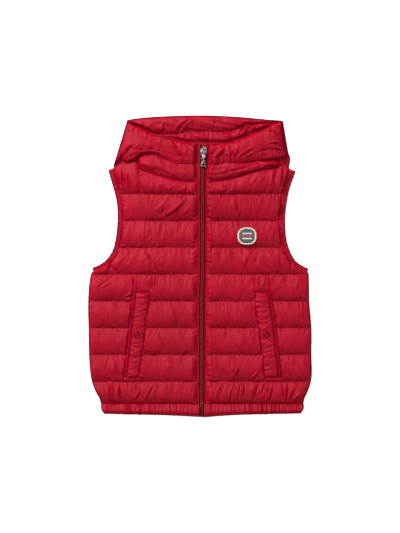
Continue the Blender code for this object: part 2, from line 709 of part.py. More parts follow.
def hem_plan(inner, side, shares):
    """Plan points of half the hem band, from its seam down to its edge."""
    seam_y = HEM_Y - SEAM_GAP / 2
    side_ys = [s.y for s in reversed(HEM_SIDE)]
    side_xs = [(s.left_x if side > 0 else s.right_x) for s in reversed(HEM_SIDE)]
    plan = []
    for t in HEM_ROWS:
        outer = np.interp(seam_y + (HEM_BOTTOM_Y - seam_y) * t, side_ys, side_xs)
        x = inner + (outer - inner) * shares
        plan.append(np.stack([x, seam_y + (curve_y(HEM_EDGE, x) - seam_y) * t], axis=1))
    return np.array(plan)


def hem_front(side, name):
    """A front's hem band: two rolled edges with gathers across them that fade towards the zip."""
    inner = zip_edge(side)
    count = int((HEM_SIDE[0].left_x - ZIP_X) / HEM_GATHER_PITCH * COLUMNS_A_GATHER)
    plan = hem_plan(inner, side, np.linspace(0.0, 1.0, count + 1))
    x, y = plan[..., 0], plan[..., 1]
    drop = np.array(HEM_ROWS)[:, None]
    puff = channel_profile(0.04 + 0.92 * drop)
    from_zip = np.abs(x - inner)
    wave = np.cos(2 * math.pi * from_zip / HEM_GATHER_PITCH + 0.8 * np.sin(x / 23.0) + 0.7 * drop)
    strength = (0.35 + 0.65 * smooth((from_zip - 60.0) / 70.0)) * smooth(from_zip / 14.0)
    thick = HEM_THICK * (0.45 + 0.55 * puff) + HEM_GATHER * wave * strength * puff
    floor = front_floor(x, y)
    top = floor + EDGE_WALL + thick * (0.3 + 0.7 * rounded(np.abs(x[:, -1:] - x), 6.0))
    return sheet_solid(name, plan, top, floor, RED_CLOTH)


def hem_back():
    """The back's hem band, flat under the front ones and curled up at its edges."""
    right, left = (hem_plan(ZIP_X, side, np.linspace(0.0, 1.0, 17)) for side in (-1, 1))
    plan = np.concatenate([right[:, :0:-1], left], axis=1)
    x, y = plan[..., 0], plan[..., 1]
    from_edge = np.minimum(np.minimum(x - x[:, :1], x[:, -1:] - x), y - y[-1:])
    floor = EDGE_LIFT * (1 - smooth(from_edge / 6.0))
    return sheet_solid("hem_band_back", plan, bed(x, y), floor, RED_CLOTH)


def armhole_binding(side, name):
    """A folded strip round an armhole: over the front edge, round each end, and back under the back edge."""
    line, inward = armhole_line(side, BINDING_WIDE / 2)
    line, inward = line[1:-2:2], inward[1:-2:2]
    along = np.gradient(line, axis=0)
    along /= np.linalg.norm(along, axis=1)[:, None]
    high = front_floor(line[:, 0], line[:, 1]) + BINDING_THICK / 2
    low = lift(line[:, 0], line[:, 1]) + BINDING_LOW + BINDING_THICK / 2
    middle, reach = (high + low) / 2, (high - low) / 2
    last = len(line) - 1
    stations = [(n, 0, 1) for n in range(last + 1)]
    stations += [(last, swing, 1) for swing in (45, 90, 135)]
    stations += [(n, 180, 1) for n in range(last, -1, -1)]
    stations += [(0, swing, -1) for swing in (135, 90, 45)]
    section = [(-1, 0.0), (-0.75, -1), (0.75, -1), (1, 0.0), (0.75, 1), (-0.75, 1)]
    vertices = []
    for n, swing, way in stations:
        turn = math.radians(swing)
        centre = line[n] + along[n] * way * reach[n] * math.sin(turn)
        across = np.array([*inward[n], 0.0]) * BINDING_WIDE / 2
        up = np.array([*(along[n] * way * math.sin(turn)), math.cos(turn)]) * BINDING_THICK / 2
        spine = np.array([*centre, middle[n] + reach[n] * math.cos(turn)])
        vertices += [spine + across * u + up * v for u, v in section]
    count, size = len(stations), len(section)
    at = lambda i, k: i % count * size + k % size
    faces = [
        [at(i, k), at(i + 1, k), at(i + 1, k + 1), at(i, k + 1)] for i in range(count) for k in range(size)
    ]
    mesh_object(name, vertices, faces, RED_CLOTH)


def zip_runs():
    """Zip tapes and the closed coil between them, laid on the back layer."""
    ys = np.concatenate([[ZIP_BOTTOM_Y, 60.0], np.arange(70.0, ZIP_TOP_Y, 8.0), [ZIP_TOP_Y]])
    for side, name in ((1, "zip_tape_left"), (-1, "zip_tape_right")):
        x = np.array([ZIP_X + side * d for d in (TAPE_INNER, TAPE_OUTER)])
        plan = np.array([[(a, y) for a in x] for y in ys])
        floor = bed(plan[..., 0], plan[..., 1]) + LAYER_GAP / 2
        sheet_solid(name, plan, floor + TAPE_THICK, floor, ZIP_CLOTH)
    chain_ys = np.concatenate([ys[:-1], [ZIP_TOP_Y - 1.5]])
    x = ZIP_X + CHAIN_HALF * np.array([-1.0, -0.6, -0.12, 0.0, 0.12, 0.6, 1.0])
    plan = np.array([[(a, y) for a in x] for y in chain_ys])
    floor = bed(plan[..., 0], plan[..., 1]) + LAYER_GAP / 2
    crest = np.array([0.55, 1.0, 0.95, 0.8, 0.95, 1.0, 0.55]) * CHAIN_THICK
    sheet_solid("zip_chain", plan, floor + crest[None, :], floor, ZIP_COIL)


def extruded(name, outline, axis, low, high, look):
    """A prism of a closed outline along axis 0 or 2, from low to high."""
    place = (lambda p, q: (q, *p)) if axis == 0 else (lambda p, q: (*p, q))
    count = len(outline)
    vertices = [place(p, q) for q in (low, high) for p in outline]
    faces = [list(range(count)), list(range(2 * count - 1, count - 1, -1))]
    faces += [[n, (n + 1) % count, count + (n + 1) % count, count + n] for n in range(count)]
    return mesh_object(name, vertices, faces, look)


def turned(name, profile, centre, axis, sides, look):
    """A profile of (radius, height) pairs turned about Z or X through centre."""
    mesh = bpy.data.meshes.new(name)
    b = bmesh.new()
    place = (lambda r, h: (r, 0, h)) if axis == 2 else (lambda r, h: (h, r, 0))
    spokes = [b.verts.new(np.array(centre) + place(r, h)) for r, h in profile]
    edges = [b.edges.new((p, q)) for p, q in zip(spokes, spokes[1:])]
    if profile[0][0] > 0 and profile[-1][0] > 0:
        edges.append(b.edges.new((spokes[-1], spokes[0])))
    turn_axis = (0, 0, 1) if axis == 2 else (1, 0, 0)
    bmesh.ops.spin(
        b, geom=spokes + edges, cent=centre, axis=turn_axis, angle=2 * math.pi, steps=sides, use_merge=True
    )
    bmesh.ops.remove_doubles(b, verts=b.verts, dist=1e-4)
    vertices = [tuple(v.co) for v in b.verts]
    index = {v: n for n, v in enumerate(b.verts)}
    faces = [[index[v] for v in f.verts] for f in b.faces]
    b.free()
    bpy.data.meshes.remove(mesh)
    return mesh_object(name, vertices, faces, look)


def join_solids(body, others, operation="UNION"):
    """Joins or cuts solids with exact Booleans, and hides the helpers."""
    for other in others:
        other.hide_render = True
        other.display_type = "WIRE"
        step = body.modifiers.new(f"with_{other.name}", "BOOLEAN")
        step.object = other
        step.operation = operation
        step.solver = "EXACT"
    return body


def slider_plate_z():
    """Underside and top of the slider's plate, over the coil."""
    chain_top = float(bed(np.array(ZIP_X), np.array(SLIDER_Y))) + LAYER_GAP / 2 + CHAIN_THICK
    return chain_top + SLIDER_CLEAR, chain_top + SLIDER_CLEAR + SLIDER_WALL


def zip_slider():
    """Slider body: a shield-shaped plate over the coil, two flanges beside it, and ears that hold the pin."""
    under, top = slider_plate_z()
    pin_z = top + PIN_RISE
    low, high = SLIDER_Y - SLIDER_LONG / 2, SLIDER_Y + SLIDER_LONG / 2
    outline = [
        (-0.62, low),
        (0.62, low),
        (0.8, low + 3.0),
        (1.0, high - 4.0),
        (0.86, high),
        (0.25, high + 0.8),
        (-0.25, high + 0.8),
        (-0.86, high),
        (-1.0, high - 4.0),
        (-0.8, low + 3.0),
    ]
    shape = [(ZIP_X + u * SLIDER_HALF, y) for u, y in outline]
    plate = extruded("zip_slider", shape, 2, under, top, NICKEL)
    helpers = []
    for side in (-1, 1):
        wall = [
            (ZIP_X + side * (CHAIN_HALF + SLIDER_CLEAR), low + 3.6),
            (ZIP_X + side * (SLIDER_HALF - 0.35), low + 6.0),
            (ZIP_X + side * (SLIDER_HALF - 0.1), high - 4.0),
            (ZIP_X + side * (CHAIN_HALF + SLIDER_CLEAR), high - 1.0),
        ]
        helpers.append(extruded(f"slider_flange_{side + 1}", wall, 2, under - 1.0, under + 0.4, NICKEL))
        ear_y = (PIN_Y - 2.0, PIN_Y + 2.6)
        ear = [
            (ear_y[0], top - 0.3),
            (ear_y[1] + 2.0, top - 0.3),
            (ear_y[1], pin_z),
            (PIN_Y + 0.6, pin_z + 1.2),
            (PIN_Y - 0.8, pin_z + 1.1),
            (ear_y[0], pin_z),
        ]
        x = sorted((ZIP_X + side * EAR_INNER, ZIP_X + side * EAR_OUTER))
        helpers.append(extruded(f"slider_ear_{side + 1}", ear, 0, x[0], x[1], NICKEL))
    reach = EAR_INNER + 0.3
    pin = [(0.0, -reach), (PIN_RADIUS, -reach), (PIN_RADIUS, reach), (0.0, reach)]
    helpers.append(turned("slider_pin", pin, (ZIP_X, PIN_Y, pin_z), 0, 12, NICKEL))
    join_solids(plate, helpers)


def zip_pull():
    """Pull tab: an eye round the slider's pin, a waisted neck, and a flared end with a slot. It turns about
    the pin, and its object's origin is there."""
    _, top = slider_plate_z()
    pin_z = top + PIN_RISE
    outline = [(ZIP_X + t.half, PIN_Y - t.down) for t in TAB]
    outline += [(ZIP_X - t.half, PIN_Y - t.down) for t in reversed(TAB)]
    plate = extruded("pull_plate", outline, 2, pin_z - PULL_THICK / 2, pin_z + PULL_THICK / 2, NICKEL)
    hang(plate, pin_z)
    eye_profile = [
        (EYE_INNER, -EYE_HALF),
        (EYE_OUTER, -EYE_HALF),
        (EYE_OUTER, EYE_HALF),
        (EYE_INNER, EYE_HALF),
    ]
    eye = turned("zip_pull", eye_profile, (ZIP_X, PIN_Y, pin_z), 0, 16, NICKEL)
    join_solids(eye, [plate])
    low, high = PIN_Y - TAB[-1].down + 2.6, PIN_Y - TAB[-1].down + 6.4
    slot = [(ZIP_X - 2.3, low), (ZIP_X + 2.3, low), (ZIP_X + 1.9, high), (ZIP_X - 1.9, high)]
    cutter = extruded("pull_slot", slot, 2, pin_z - 3.0, pin_z + 3.0, NICKEL)
    hang(cutter, pin_z)
    join_solids(eye, [cutter], "DIFFERENCE")
    move_origin(eye, (ZIP_X, PIN_Y, pin_z))


def hang(obj, pin_z):
    """Turns a piece of the tab down about the pin."""
    turn = Matrix.Rotation(math.radians(PULL_TILT), 4, "X")
    pin = Matrix.Translation((0.0, PIN_Y * MM, pin_z * MM))
    obj.data.transform(pin @ turn @ pin.inverted())


def move_origin(obj, point):
    """Puts an object's origin at a point and leaves its shape where it is."""
    shift = np.array(point) * MM
    for v in obj.data.vertices:
        v.co = [a - b for a, b in zip(v.co, shift)]
    obj.location = shift


def pocket(side, word):
    """Pocket trim on one side: a padded welt and the piped edge of the pocket's mouth beside it."""
    ys = np.linspace(WELT[0].y, WELT[-1].y, 33)
    inner, outer = welt_at(ys, side)
    snap = SNAPS[1] if side > 0 else SNAPS[0]
    shares = np.array([0.0, 0.12, 0.3, 0.5, 0.7, 0.88, 1.0])
    x = inner[:, None] + (outer - inner)[:, None] * shares
    y = np.repeat(ys[:, None], len(shares), axis=1)
    floor = front_floor(x, y) + SEAM_WALL + LAYER_GAP
    ends = rounded(np.minimum(ys[0] - y, y - ys[-1]) + 0.4, 9.0)
    pucker = 0.7 * np.sin(2 * math.pi * y / 13.0 + 1.4 * np.sin(y / 21.0)) * (1.2 - shares)
    crown = (WELT_CROWN + pucker) * np.sin(math.pi * (0.06 + 0.86 * shares)) ** 0.6 * ends
    seat = smooth((SNAP_SEAT + 3.0 - np.hypot(x - snap.x, y - snap.y)) / 4.0)
    crown += (WELT_CROWN * 0.85 - crown) * seat
    sheet_solid(f"pocket_welt_{word}", np.stack([x, y], axis=2), floor + WELT_WALL + crown, floor, RED_CLOTH)
    across = np.array([0.0, 0.2, 0.5, 0.8, 1.0])
    x = (outer + side * SEAM_GAP)[:, None] + side * PIPING_WIDE * across
    y = np.repeat(ys[:, None], len(across), axis=1)
    floor = front_floor(x, y) + SEAM_WALL + LAYER_GAP
    ends = rounded(np.minimum(ys[0] - y, y - ys[-1]) + 1.0, 5.0)
    tall = PIPING_TALL * (0.4 + 0.6 * np.sin(math.pi * across)) * ends
    sheet_solid(f"pocket_piping_{word}", np.stack([x, y], axis=2), floor + tall, floor, RED_CLOTH)


def pocket_snap(spot):
    """A snap's cap: a low dome inside a raised ring."""
    seat_z = float(front_floor(np.array(spot.x), np.array(spot.y))) + SEAM_WALL + LAYER_GAP
    seat_z += WELT_WALL + WELT_CROWN * 0.85 + SEAM_GAP
    r = SNAP_RADIUS
    dome = [(0.0, 1.7), (r * 0.35, 1.6), (r * 0.6, 1.2)]
    ring = [(r * 0.68, 1.15), (r * 0.82, 1.75), (r, 1.1), (r, 0.0), (0.0, 0.0)]
    profile = [(radius, height + seat_z) for radius, height in dome + ring]
    turned(spot.name, profile, (spot.x, spot.y, 0.0), 2, 24, SNAP_ENAMEL)


def chest_patch():
    """A plain sewn patch on the wearer's left chest, with rounded corners and a thick sewn edge."""
    floor_z = float(front_floor(np.array(PATCH_X), np.array(PATCH_Y))) + SEAM_WALL + PATCH_RISE + SEAM_GAP
    turns = np.linspace(0, 2 * math.pi, 28, endpoint=False)
    cap = lambda a: np.sign(a) * np.abs(a) ** 0.8
    vertices, faces = [], []
    loops = ((1.0, 0.0), (1.0, 0.8), (0.94, 1.0), (0.86, 0.94), (0.82, 0.7))
    for scale, share in loops:
        for t in turns:
            x = PATCH_X + PATCH_HALF_X * scale * cap(math.cos(t))
            y = PATCH_Y + PATCH_HALF_Y * scale * cap(math.sin(t))
            vertices.append((x, y, floor_z + PATCH_THICK * share))
    n = len(turns)
    for k in range(len(loops) - 1):
        for i in range(n):
            j = (i + 1) % n
            faces.append([k * n + i, k * n + j, (k + 1) * n + j, (k + 1) * n + i])
    faces += [list(range(n)), list(range((len(loops) - 1) * n, len(loops) * n))]
    mesh_object("chest_patch", vertices, faces, PATCH_CLOTH)


def main():
    for old in list(bpy.data.objects):
        bpy.data.objects.remove(old)
    body_back()
    hood_back()
    hem_back()
    for side, word in ((1, "left"), (-1, "right")):
        body_front(side, f"front_{word}")
        hood_front(side, word)
        hem_front(side, f"hem_band_front_{word}")
        armhole_binding(side, f"armhole_binding_{word}")
        pocket(side, word)
    zip_runs()
    zip_slider()
    zip_pull()
    for spot in SNAPS:
        pocket_snap(spot)
    chest_patch()


main()
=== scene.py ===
import math

import bmesh
import bpy
import numpy as np
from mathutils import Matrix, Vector
from mathutils.bvhtree import BVHTree
from mathutils.kdtree import KDTree


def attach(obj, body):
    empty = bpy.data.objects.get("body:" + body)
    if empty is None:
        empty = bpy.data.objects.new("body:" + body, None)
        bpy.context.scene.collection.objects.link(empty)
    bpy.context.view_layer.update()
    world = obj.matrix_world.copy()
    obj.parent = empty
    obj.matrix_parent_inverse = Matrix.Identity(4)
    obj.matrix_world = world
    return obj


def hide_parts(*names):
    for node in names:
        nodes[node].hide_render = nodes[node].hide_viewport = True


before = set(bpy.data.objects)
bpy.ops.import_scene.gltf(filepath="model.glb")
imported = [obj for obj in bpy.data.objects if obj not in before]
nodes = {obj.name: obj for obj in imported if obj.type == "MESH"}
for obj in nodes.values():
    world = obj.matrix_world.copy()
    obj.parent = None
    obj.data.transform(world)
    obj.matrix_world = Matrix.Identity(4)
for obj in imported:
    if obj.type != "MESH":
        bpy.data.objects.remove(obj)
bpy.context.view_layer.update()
mm = 0.001  # every size below is in millimetres
hands = ((-1, "Right"), (1, "Left"))  # the wearer's right is at -x, the wearer's left at +x
print("frame loaded:", len(nodes), "solids")

# how the vest lies, for all of its pieces
lie = {
    "seamGap": 0.3,
    "layerGap": 0.5,
    "backThick": 4.6,
    "hoodUnder": 8.0,  # hood cloth folded under the back
    "hoodMid": 2.5,
    "hoodHalf": 151.5,
    "hoodRoot": 173.0,
    "hoodDeep": 83.0,
    "hoodSquare": 2.6,
    "liftEnd": 1.2,  # where the back meets the floor, in reaches of the folded hood
    "liftWide": 0.75,
}
zipSizes = {
    "x": 6.0,
    "opening": 6.3,
    "strip": {-1: 4.4, 1: 1.8},
    "edgeRoll": {-1: (0.6, 0.55, 1.9), 1: (0.42, 0.33, 2.2)},  # raised edge: middle, half width, height
    "step": {-1: (3.0, 1.5), 1: (2.2, 0.8)},  # where the groove's far side ends, and how wide that side is
    "stepDeep": 1.2,
    "slope": {-1: 0.42, 1: 0.0},  # rise of the cloth from there to the filling
    "comeOut": 0.5,
    "comeWide": 4.0,
    "drawIn": 3.2,  # the wearer's left edge comes in below the slider
    "drawFrom": 176.0,
    "drawOver": 9.0,
    "drawWide": 4.7,
    "lean": 1.5,
    "leanFrom": -15.0,
    "leanOver": 35.0,
    "leanWide": 18.0,
    "coilX": 5.3,
    "tapeInner": 3.3,
    "tapeOuter": 11.0,
    "tapeThick": 0.9,
    "tapeGap": 0.25,
    "bottom": -260.0,
    "top": 211.0,
    "coilPitch": 2.1,
    "coilHalf": 3.1,
    "coilTall": 2.3,
}
quilt = {"top": 126.0, "pitch": 46.8, "lines": 8, "hem": -240.0, "shoulder": 166.0, "scallop": 1.5,
         "roundness": 0.75}

outline = {
    "armhole": {
        -1: [(-160, 168), (-158, 160), (-151, 135.5), (-145.6, 113), (-144, 84), (-146.7, 52.5),
             (-152.6, 28.4), (-163.5, 12), (-176.5, 2.8), (-189.3, -2.5)],
        1: [(167, 165), (164.5, 158), (156.8, 136), (151.4, 109.5), (149, 82), (150.5, 52.5),
            (155.8, 31), (166, 11.5), (178.5, 2), (190.6, -4)],
    },
    "side": {
        -1: [(-173, -240), (-174.6, -233), (-181.6, -220), (-187, -208), (-190.5, -195), (-192.4, -178),
             (-194.2, -154), (-194.9, -108), (-195.7, -68), (-194.2, -36), (-191, -14)],
        1: [(180.6, -240), (181.9, -233), (187.6, -220), (192.4, -208), (195.2, -195), (195.7, -178),
            (194.9, -154), (195, -108), (191.6, -68), (190.8, -36), (190.3, -14)],
    },
    "hemSide": {
        -1: [(-173, -240), (-172.9, -247), (-172, -251.5), (-170, -255.4), (-167, -258)],
        1: [(181.2, -240), (181.8, -247), (180.4, -251.5), (178.6, -255.2), (175.6, -258)],
    },
    "hemEdge": [(-175, -257.2), (-131.6, -258.4), (-63, -260), (-4.6, -262.7), (10.9, -263.4),
                (29, -261.8), (75, -259.2), (145, -257.6), (181, -256.6)],
    "neck": [(-160, 168), (-149, 173.2), (-138, 180), (-128, 179.8), (-118, 183.2), (-111, 181.5),
             (-104, 170.6), (-85.6, 163.2), (-69.7, 158), (-53.6, 153.7), (-32, 149.2), (-5, 148),
             (15.9, 147.5), (45, 151), (67.4, 156.5), (87, 163.4), (99, 166.8), (112, 169.4), (124, 171),
             (134, 173), (142, 176.4), (148, 177), (155, 172.4), (167, 165)],
    "rim": [(-151.2, 176), (-145, 182.8), (-136, 186), (-128.4, 181.6), (-118, 185.2), (-109.2, 188.4),
            (-100.6, 193.9), (-87.9, 196.5), (-77, 195.5), (-67.4, 190), (-53.9, 184.8), (-40, 180.4),
            (-5, 180), (15, 178.8), (45, 180.5), (80, 181.2), (106, 184.6), (132, 187), (145, 191),
            (151.5, 196.5)],
    "mouth": [(-127.4, 253.4), (-112.4, 244.8), (-96.4, 236.8), (-83.5, 230.8), (-69.7, 227.2),
              (-55.7, 223.3), (-42.7, 220.2), (-26.8, 215.8), (-5, 214.4), (14.9, 213.9), (45, 214.6),
              (60.6, 217.9), (78.4, 225.8), (95.2, 232.4), (112, 239), (123, 246), (138.6, 251.3),
              (144.2, 253.6)],
    "hoodFold": [(-128, 251), (-100, 238.8), (-87, 233), (-69, 230.4), (-55, 229.4), (-44, 230.6),
                 (-30, 233.4), (-18, 235.4), (12, 235.6), (42, 234.5), (72, 242), (84, 248), (144.6, 253)],
    "hoodTop": [(-126.8, 255.7), (-107, 258.7), (-69.7, 261.5), (-32, 263), (7.4, 263.4), (39.4, 262.4),
                (73, 260.4), (106.4, 257.4), (132, 255.4), (144.6, 254.8)],
    "hoodSide": {
        -1: [(-151, 173), (-150.2, 178), (-147.6, 186), (-144.6, 195.7), (-142.2, 202), (-139.2, 211),
             (-134.8, 226), (-131.2, 239), (-126.6, 256)],
        1: [(155.6, 173), (156, 178), (157.4, 186), (156.8, 193), (152.8, 201), (149.6, 211),
            (146.8, 226), (145.4, 239), (144.2, 256)],
    },
}


def smooth(t):
    t = np.clip(t, 0.0, 1.0)
    return t * t * (3 - 2 * t)


def rounded(distance, reach):  # quarter-round rise from an edge
    t = np.clip(distance / reach, 0.0, 1.0)
    return np.sqrt(1 - (1 - t) ** 2)


def bump(distance, wide):  # 1 at no distance, fading both ways
    return np.exp(-((distance / wide) ** 2))


def flow(points, steps=8):  # smooth line through points
    p = np.array(points, float)
    p = np.vstack([2 * p[0] - p[1], p, 2 * p[-1] - p[-2]])
    t = np.arange(steps)[:, None] / steps
    line = []
    for a, b, c, d in zip(p, p[1:], p[2:], p[3:]):
        line.append(b + 0.5 * t * (c - a + t * (2 * a - 5 * b + 4 * c - d + t * (3 * (b - c) + d - a))))
    return np.vstack([*line, p[-2]])


def curveY(name, x):
    line = flow(outline[name])
    return np.interp(x, line[:, 0], line[:, 1])


def sideX(name, side, y):
    line = flow(outline[name][side])
    return np.interp(y, line[:, 1], line[:, 0])


def distances(line):  # distance along a line at each of its points
    return np.concatenate([[0], np.cumsum(np.linalg.norm(np.diff(line, axis=0), axis=1))])


def armholeLine(side, inset, steps=6):
    line = flow(outline["armhole"][side], steps)
    along = np.gradient(line, axis=0)
    along /= np.linalg.norm(along, axis=1)[:, None]
    inward = np.stack([along[:, 1], -along[:, 0]], axis=1) * side
    return line + inward * inset, inward, along


def outerX(y, side):  # outer edge of a front or the back
    arm, _, _ = armholeLine(side, binding["wide"] - 1.0)
    line = np.vstack([flow(outline["side"][side]), arm[::-1]])
    return np.interp(y, line[:, 1], line[:, 0])


def lift(x, y):  # how far the folded hood raises the back
    across = np.abs(x - lie["hoodMid"]) / lie["hoodHalf"]
    below = np.clip(lie["hoodRoot"] - y, 0, None) / lie["hoodDeep"]
    reach = (across ** lie["hoodSquare"] + below ** lie["hoodSquare"]) ** (1 / lie["hoodSquare"])
    return lie["hoodUnder"] * smooth((lie["liftEnd"] - reach) / lie["liftWide"])


def bed(x, y):  # top of the back
    return lift(x, y) + lie["backThick"]


def frontFloor(x, y):  # underside of what lies on the back and on the zip's tapes
    underZip = smooth((zipSizes["tapeOuter"] + 5 - np.abs(x - zipSizes["x"])) / 5)
    return bed(x, y) + lie["layerGap"] + underZip * (zipSizes["tapeThick"] + lie["layerGap"])


def zipEdge(side):
    return zipSizes["x"] + side * zipSizes["opening"]


def fromEdges(x, side):  # distances from the zip's edge and from the outer edge
    return np.abs(x - zipEdge(side)), np.abs(x[:, -1:] - x)


def leaning(x, y):  # the zip runs a little to one side in its lower half
    lower = smooth((zipSizes["leanFrom"] - y) / zipSizes["leanOver"])
    return x - zipSizes["lean"] * lower * bump(x - zipSizes["x"], zipSizes["leanWide"])


def drawnIn(x, y):  # where cloth beside the zip really lies
    come = zipSizes["drawIn"] * smooth((zipSizes["drawFrom"] - y) / zipSizes["drawOver"])
    come = come * np.clip(1 - (x - zipEdge(1)) / zipSizes["drawWide"], 0, 1)
    out = zipSizes["comeOut"] * np.clip(1 - (zipEdge(-1) - x) / zipSizes["comeWide"], 0, 1)
    return leaning(x + np.where(x > zipSizes["x"], -come, out), y)


def down(share):  # height of a filled channel from one stitched line to the next
    return np.sin(math.pi * np.clip(share, 0, 1)) ** quilt["roundness"]


def ripple(x, seed, short, long, count=14):  # uneven waves along a seam, about -1 to 1
    rng = np.random.default_rng(seed)
    wave = np.zeros_like(x, float)
    for _ in range(count):
        length = short * (long / short) ** rng.random()
        wave += np.sin(2 * math.pi * (x / length + rng.random())) * rng.uniform(0.5, 1.0)
    return wave / math.sqrt(count * 0.3)


def folds(x, y, table):  # ridges and troughs: start, end, half width, height, bow to the right
    relief = np.zeros_like(x, float)
    for x0, y0, x1, y1, half, high, *bow in table:
        run = np.array([x1 - x0, y1 - y0])
        long = np.linalg.norm(run)
        along = ((x - x0) * run[0] + (y - y0) * run[1]) / long
        bend = (bow[0] if bow else 0.06 * long) * np.sin(math.pi * np.clip(along / long, 0, 1))
        off = ((x - x0) * run[1] - (y - y0) * run[0]) / long - bend
        share = np.clip(along / long, 0, 1)
        beyond = np.abs(along - share * long)
        ends = np.sin(math.pi * (0.05 + 0.9 * share)) * bump(beyond, half)
        width = np.where(off > 0, half, 0.6 * half)  # steeper on one side
        relief += high * ends * bump(off, width)
    return relief


class Value:  # a socket that takes part in sums
    def __init__(self, finish, socket):
        self.finish, self.socket = finish, socket

    def calc(self, operation, *values):
        return self.finish.node("ShaderNodeMath", {"operation": operation}, dict(enumerate(values)))

    def __add__(self, other):
        return self.calc("ADD", self, other)

    def __mul__(self, other):
        return self.calc("MULTIPLY", self, other)

    def __sub__(self, other):
        return self.calc("SUBTRACT", self, other)

    def __rsub__(self, other):
        return self.calc("SUBTRACT", other, self)

    __radd__, __rmul__ = __add__, __mul__

    def size(self):
        return self.calc("ABSOLUTE", self)

    def waves(self, pitch):  # -1 to 1 and back over each pitch
        return self.calc("SINE", self * (2 * math.pi / pitch))

    def between(self, low, high):  # 0 at low, 1 at high
        values = {"Value": self, "From Min": low, "From Max": high}
        return self.finish.node("ShaderNodeMapRange", {"interpolation_type": "SMOOTHSTEP"}, values)


class Finish:  # one material and what is put in it
    def __init__(self, name, surface):
        self.material = bpy.data.materials.new(name)
        self.material.use_nodes = True
        self.tree = self.material.node_tree
        self.shader = self.tree.nodes["Principled BSDF"]
        for socket, value in surface.items():
            self.shader.inputs[socket].default_value = value

    def node(self, kind, settings, inputs, out=0):
        made = self.tree.nodes.new(kind)
        for key, value in settings.items():
            setattr(made, key, value)
        for key, value in inputs.items():
            if isinstance(value, Value):
                self.tree.links.new(value.socket, made.inputs[key])
            else:
                made.inputs[key].default_value = value
        return Value(self, made.outputs[out])

    def place(self, scale=(1, 1, 1), turn=0.0):  # position on the piece, in millimetres times scale
        where = self.node("ShaderNodeTexCoord", {}, {}, "Object")
        values = {"Vector": where, "Rotation": (0, 0, turn), "Scale": tuple(s / mm for s in scale)}
        return self.node("ShaderNodeMapping", {}, values)

    def parts(self, vector):  # its x, y and z
        split = self.node("ShaderNodeSeparateXYZ", {}, {"Vector": vector}).socket.node
        return [Value(self, socket) for socket in split.outputs]

    def noise(self, where, scale, detail, rough, twist=0.0):
        values = {"Vector": where, "Scale": scale, "Detail": detail, "Roughness": rough}
        return self.node("ShaderNodeTexNoise", {}, {**values, "Distortion": twist})

    def facing(self):  # 0 where the surface faces the eye, 1 at its rim
        return self.node("ShaderNodeLayerWeight", {}, {"Blend": 0.5}, "Facing")

    def mix(self, factor, first, second):
        first, second = (c if isinstance(c, Value) else (*c, 1) for c in (first, second))
        return self.node("ShaderNodeMix", {"data_type": "RGBA"}, {0: factor, 6: first, 7: second}, 2)

    def relief(self, height, distance, strength=1.0, under=None):  # bump of that many millimetres
        values = {"Height": height, "Distance": distance * mm, "Strength": strength}
        if under:
            values["Normal"] = under
        return self.node("ShaderNodeBump", {}, values)

    def wear(self, links):  # joins what was made to the surface
        for socket, value in links.items():
            self.tree.links.new(value.socket, self.shader.inputs[socket])
        return self.material


nylon = {
    "rough": 0.44,
    "weave": 0.42,  # from one thread to the next
    "paintedEdgeShade": (0.05, 0.0003, 0.003),  # painted shade along the outermost edge, where the rolled edge turns away from the light
    "shell": {"base": (0.266, 0.0003, 0.0118), "light": (0.297, 0.0005, 0.0142),
              "deep": (0.203, 0.0001, 0.0078), "crinkle": 0.24, "fine": 0.45, "coarse": 0.72},
    "lining": {"base": (0.258, 0.0003, 0.0112), "light": (0.289, 0.0005, 0.0135),
               "deep": (0.193, 0.0001, 0.0072), "crinkle": 0.22, "fine": 0.5, "coarse": 1.2},
}


def nylonFinish(name, cloth):
    finish = Finish(name, {"Roughness": nylon["rough"], "Specular IOR Level": 0.0, "Coat Roughness": 0.6,
                           "Subsurface Weight": 0.25, "Subsurface Radius": (1.0, 0.1, 0.12),
                           "Subsurface Scale": 0.002})
    where = finish.place()
    x, y, _ = finish.parts(where)
    cloud = finish.noise(where, 0.018, 3, 0.5)
    streak = finish.noise(finish.place((1.0, 0.32, 1.0), 0.25), 0.09, 3, 0.55, 0.4)
    threads = x.waves(nylon["weave"]) * 0.5 + y.waves(nylon["weave"]) * 0.5
    outermost = finish.node("ShaderNodeAttribute", {"attribute_name": "outerEdge"}, {}, "Fac")
    tone = finish.mix(cloud.between(0.35, 0.68), cloth["base"], cloth["light"])
    tone = finish.mix(streak.between(0.52, 0.75) * 0.35, tone, cloth["deep"])
    tone = finish.mix(threads.between(-1.0, 1.0) * 0.08, tone, cloth["deep"])
    # painted shade: the cloth darkens towards the vest's outer edge
    tone = finish.mix(outermost * 0.9, tone, nylon["paintedEdgeShade"])
    fine = finish.noise(finish.place((1.0, 0.45, 1.0), 0.2), cloth["crinkle"], 3, 0.6, 0.8)
    coarse = finish.noise(finish.place((1.0, 0.5, 1.0), -0.15), cloth["crinkle"] * 0.35, 2, 0.5, 0.6)
    soft = finish.relief(coarse, cloth["coarse"])
    creased = finish.relief(fine, cloth["fine"], 1.0, soft)
    gloss = (1 - finish.facing().between(0.16, 0.5)) * (streak * 0.12 + 0.15)
    return finish.wear({"Base Color": tone, "Roughness": streak * 0.14 + (nylon["rough"] - 0.07),
                        "Coat Weight": gloss, "Normal": finish.relief(threads, 0.02, 0.5, creased)})


def threadFinish():
    finish = Finish("redThread", {"Roughness": 0.5, "Sheen Weight": 0.2})
    x, y, _ = finish.parts(finish.place())
    ply = (x + y).waves(0.7)
    tone = finish.mix(ply.between(-1, 1) * 0.5, (0.36, 0.008, 0.02), (0.55, 0.03, 0.05))
    return finish.wear({"Base Color": tone, "Normal": finish.relief(ply, 0.05)})


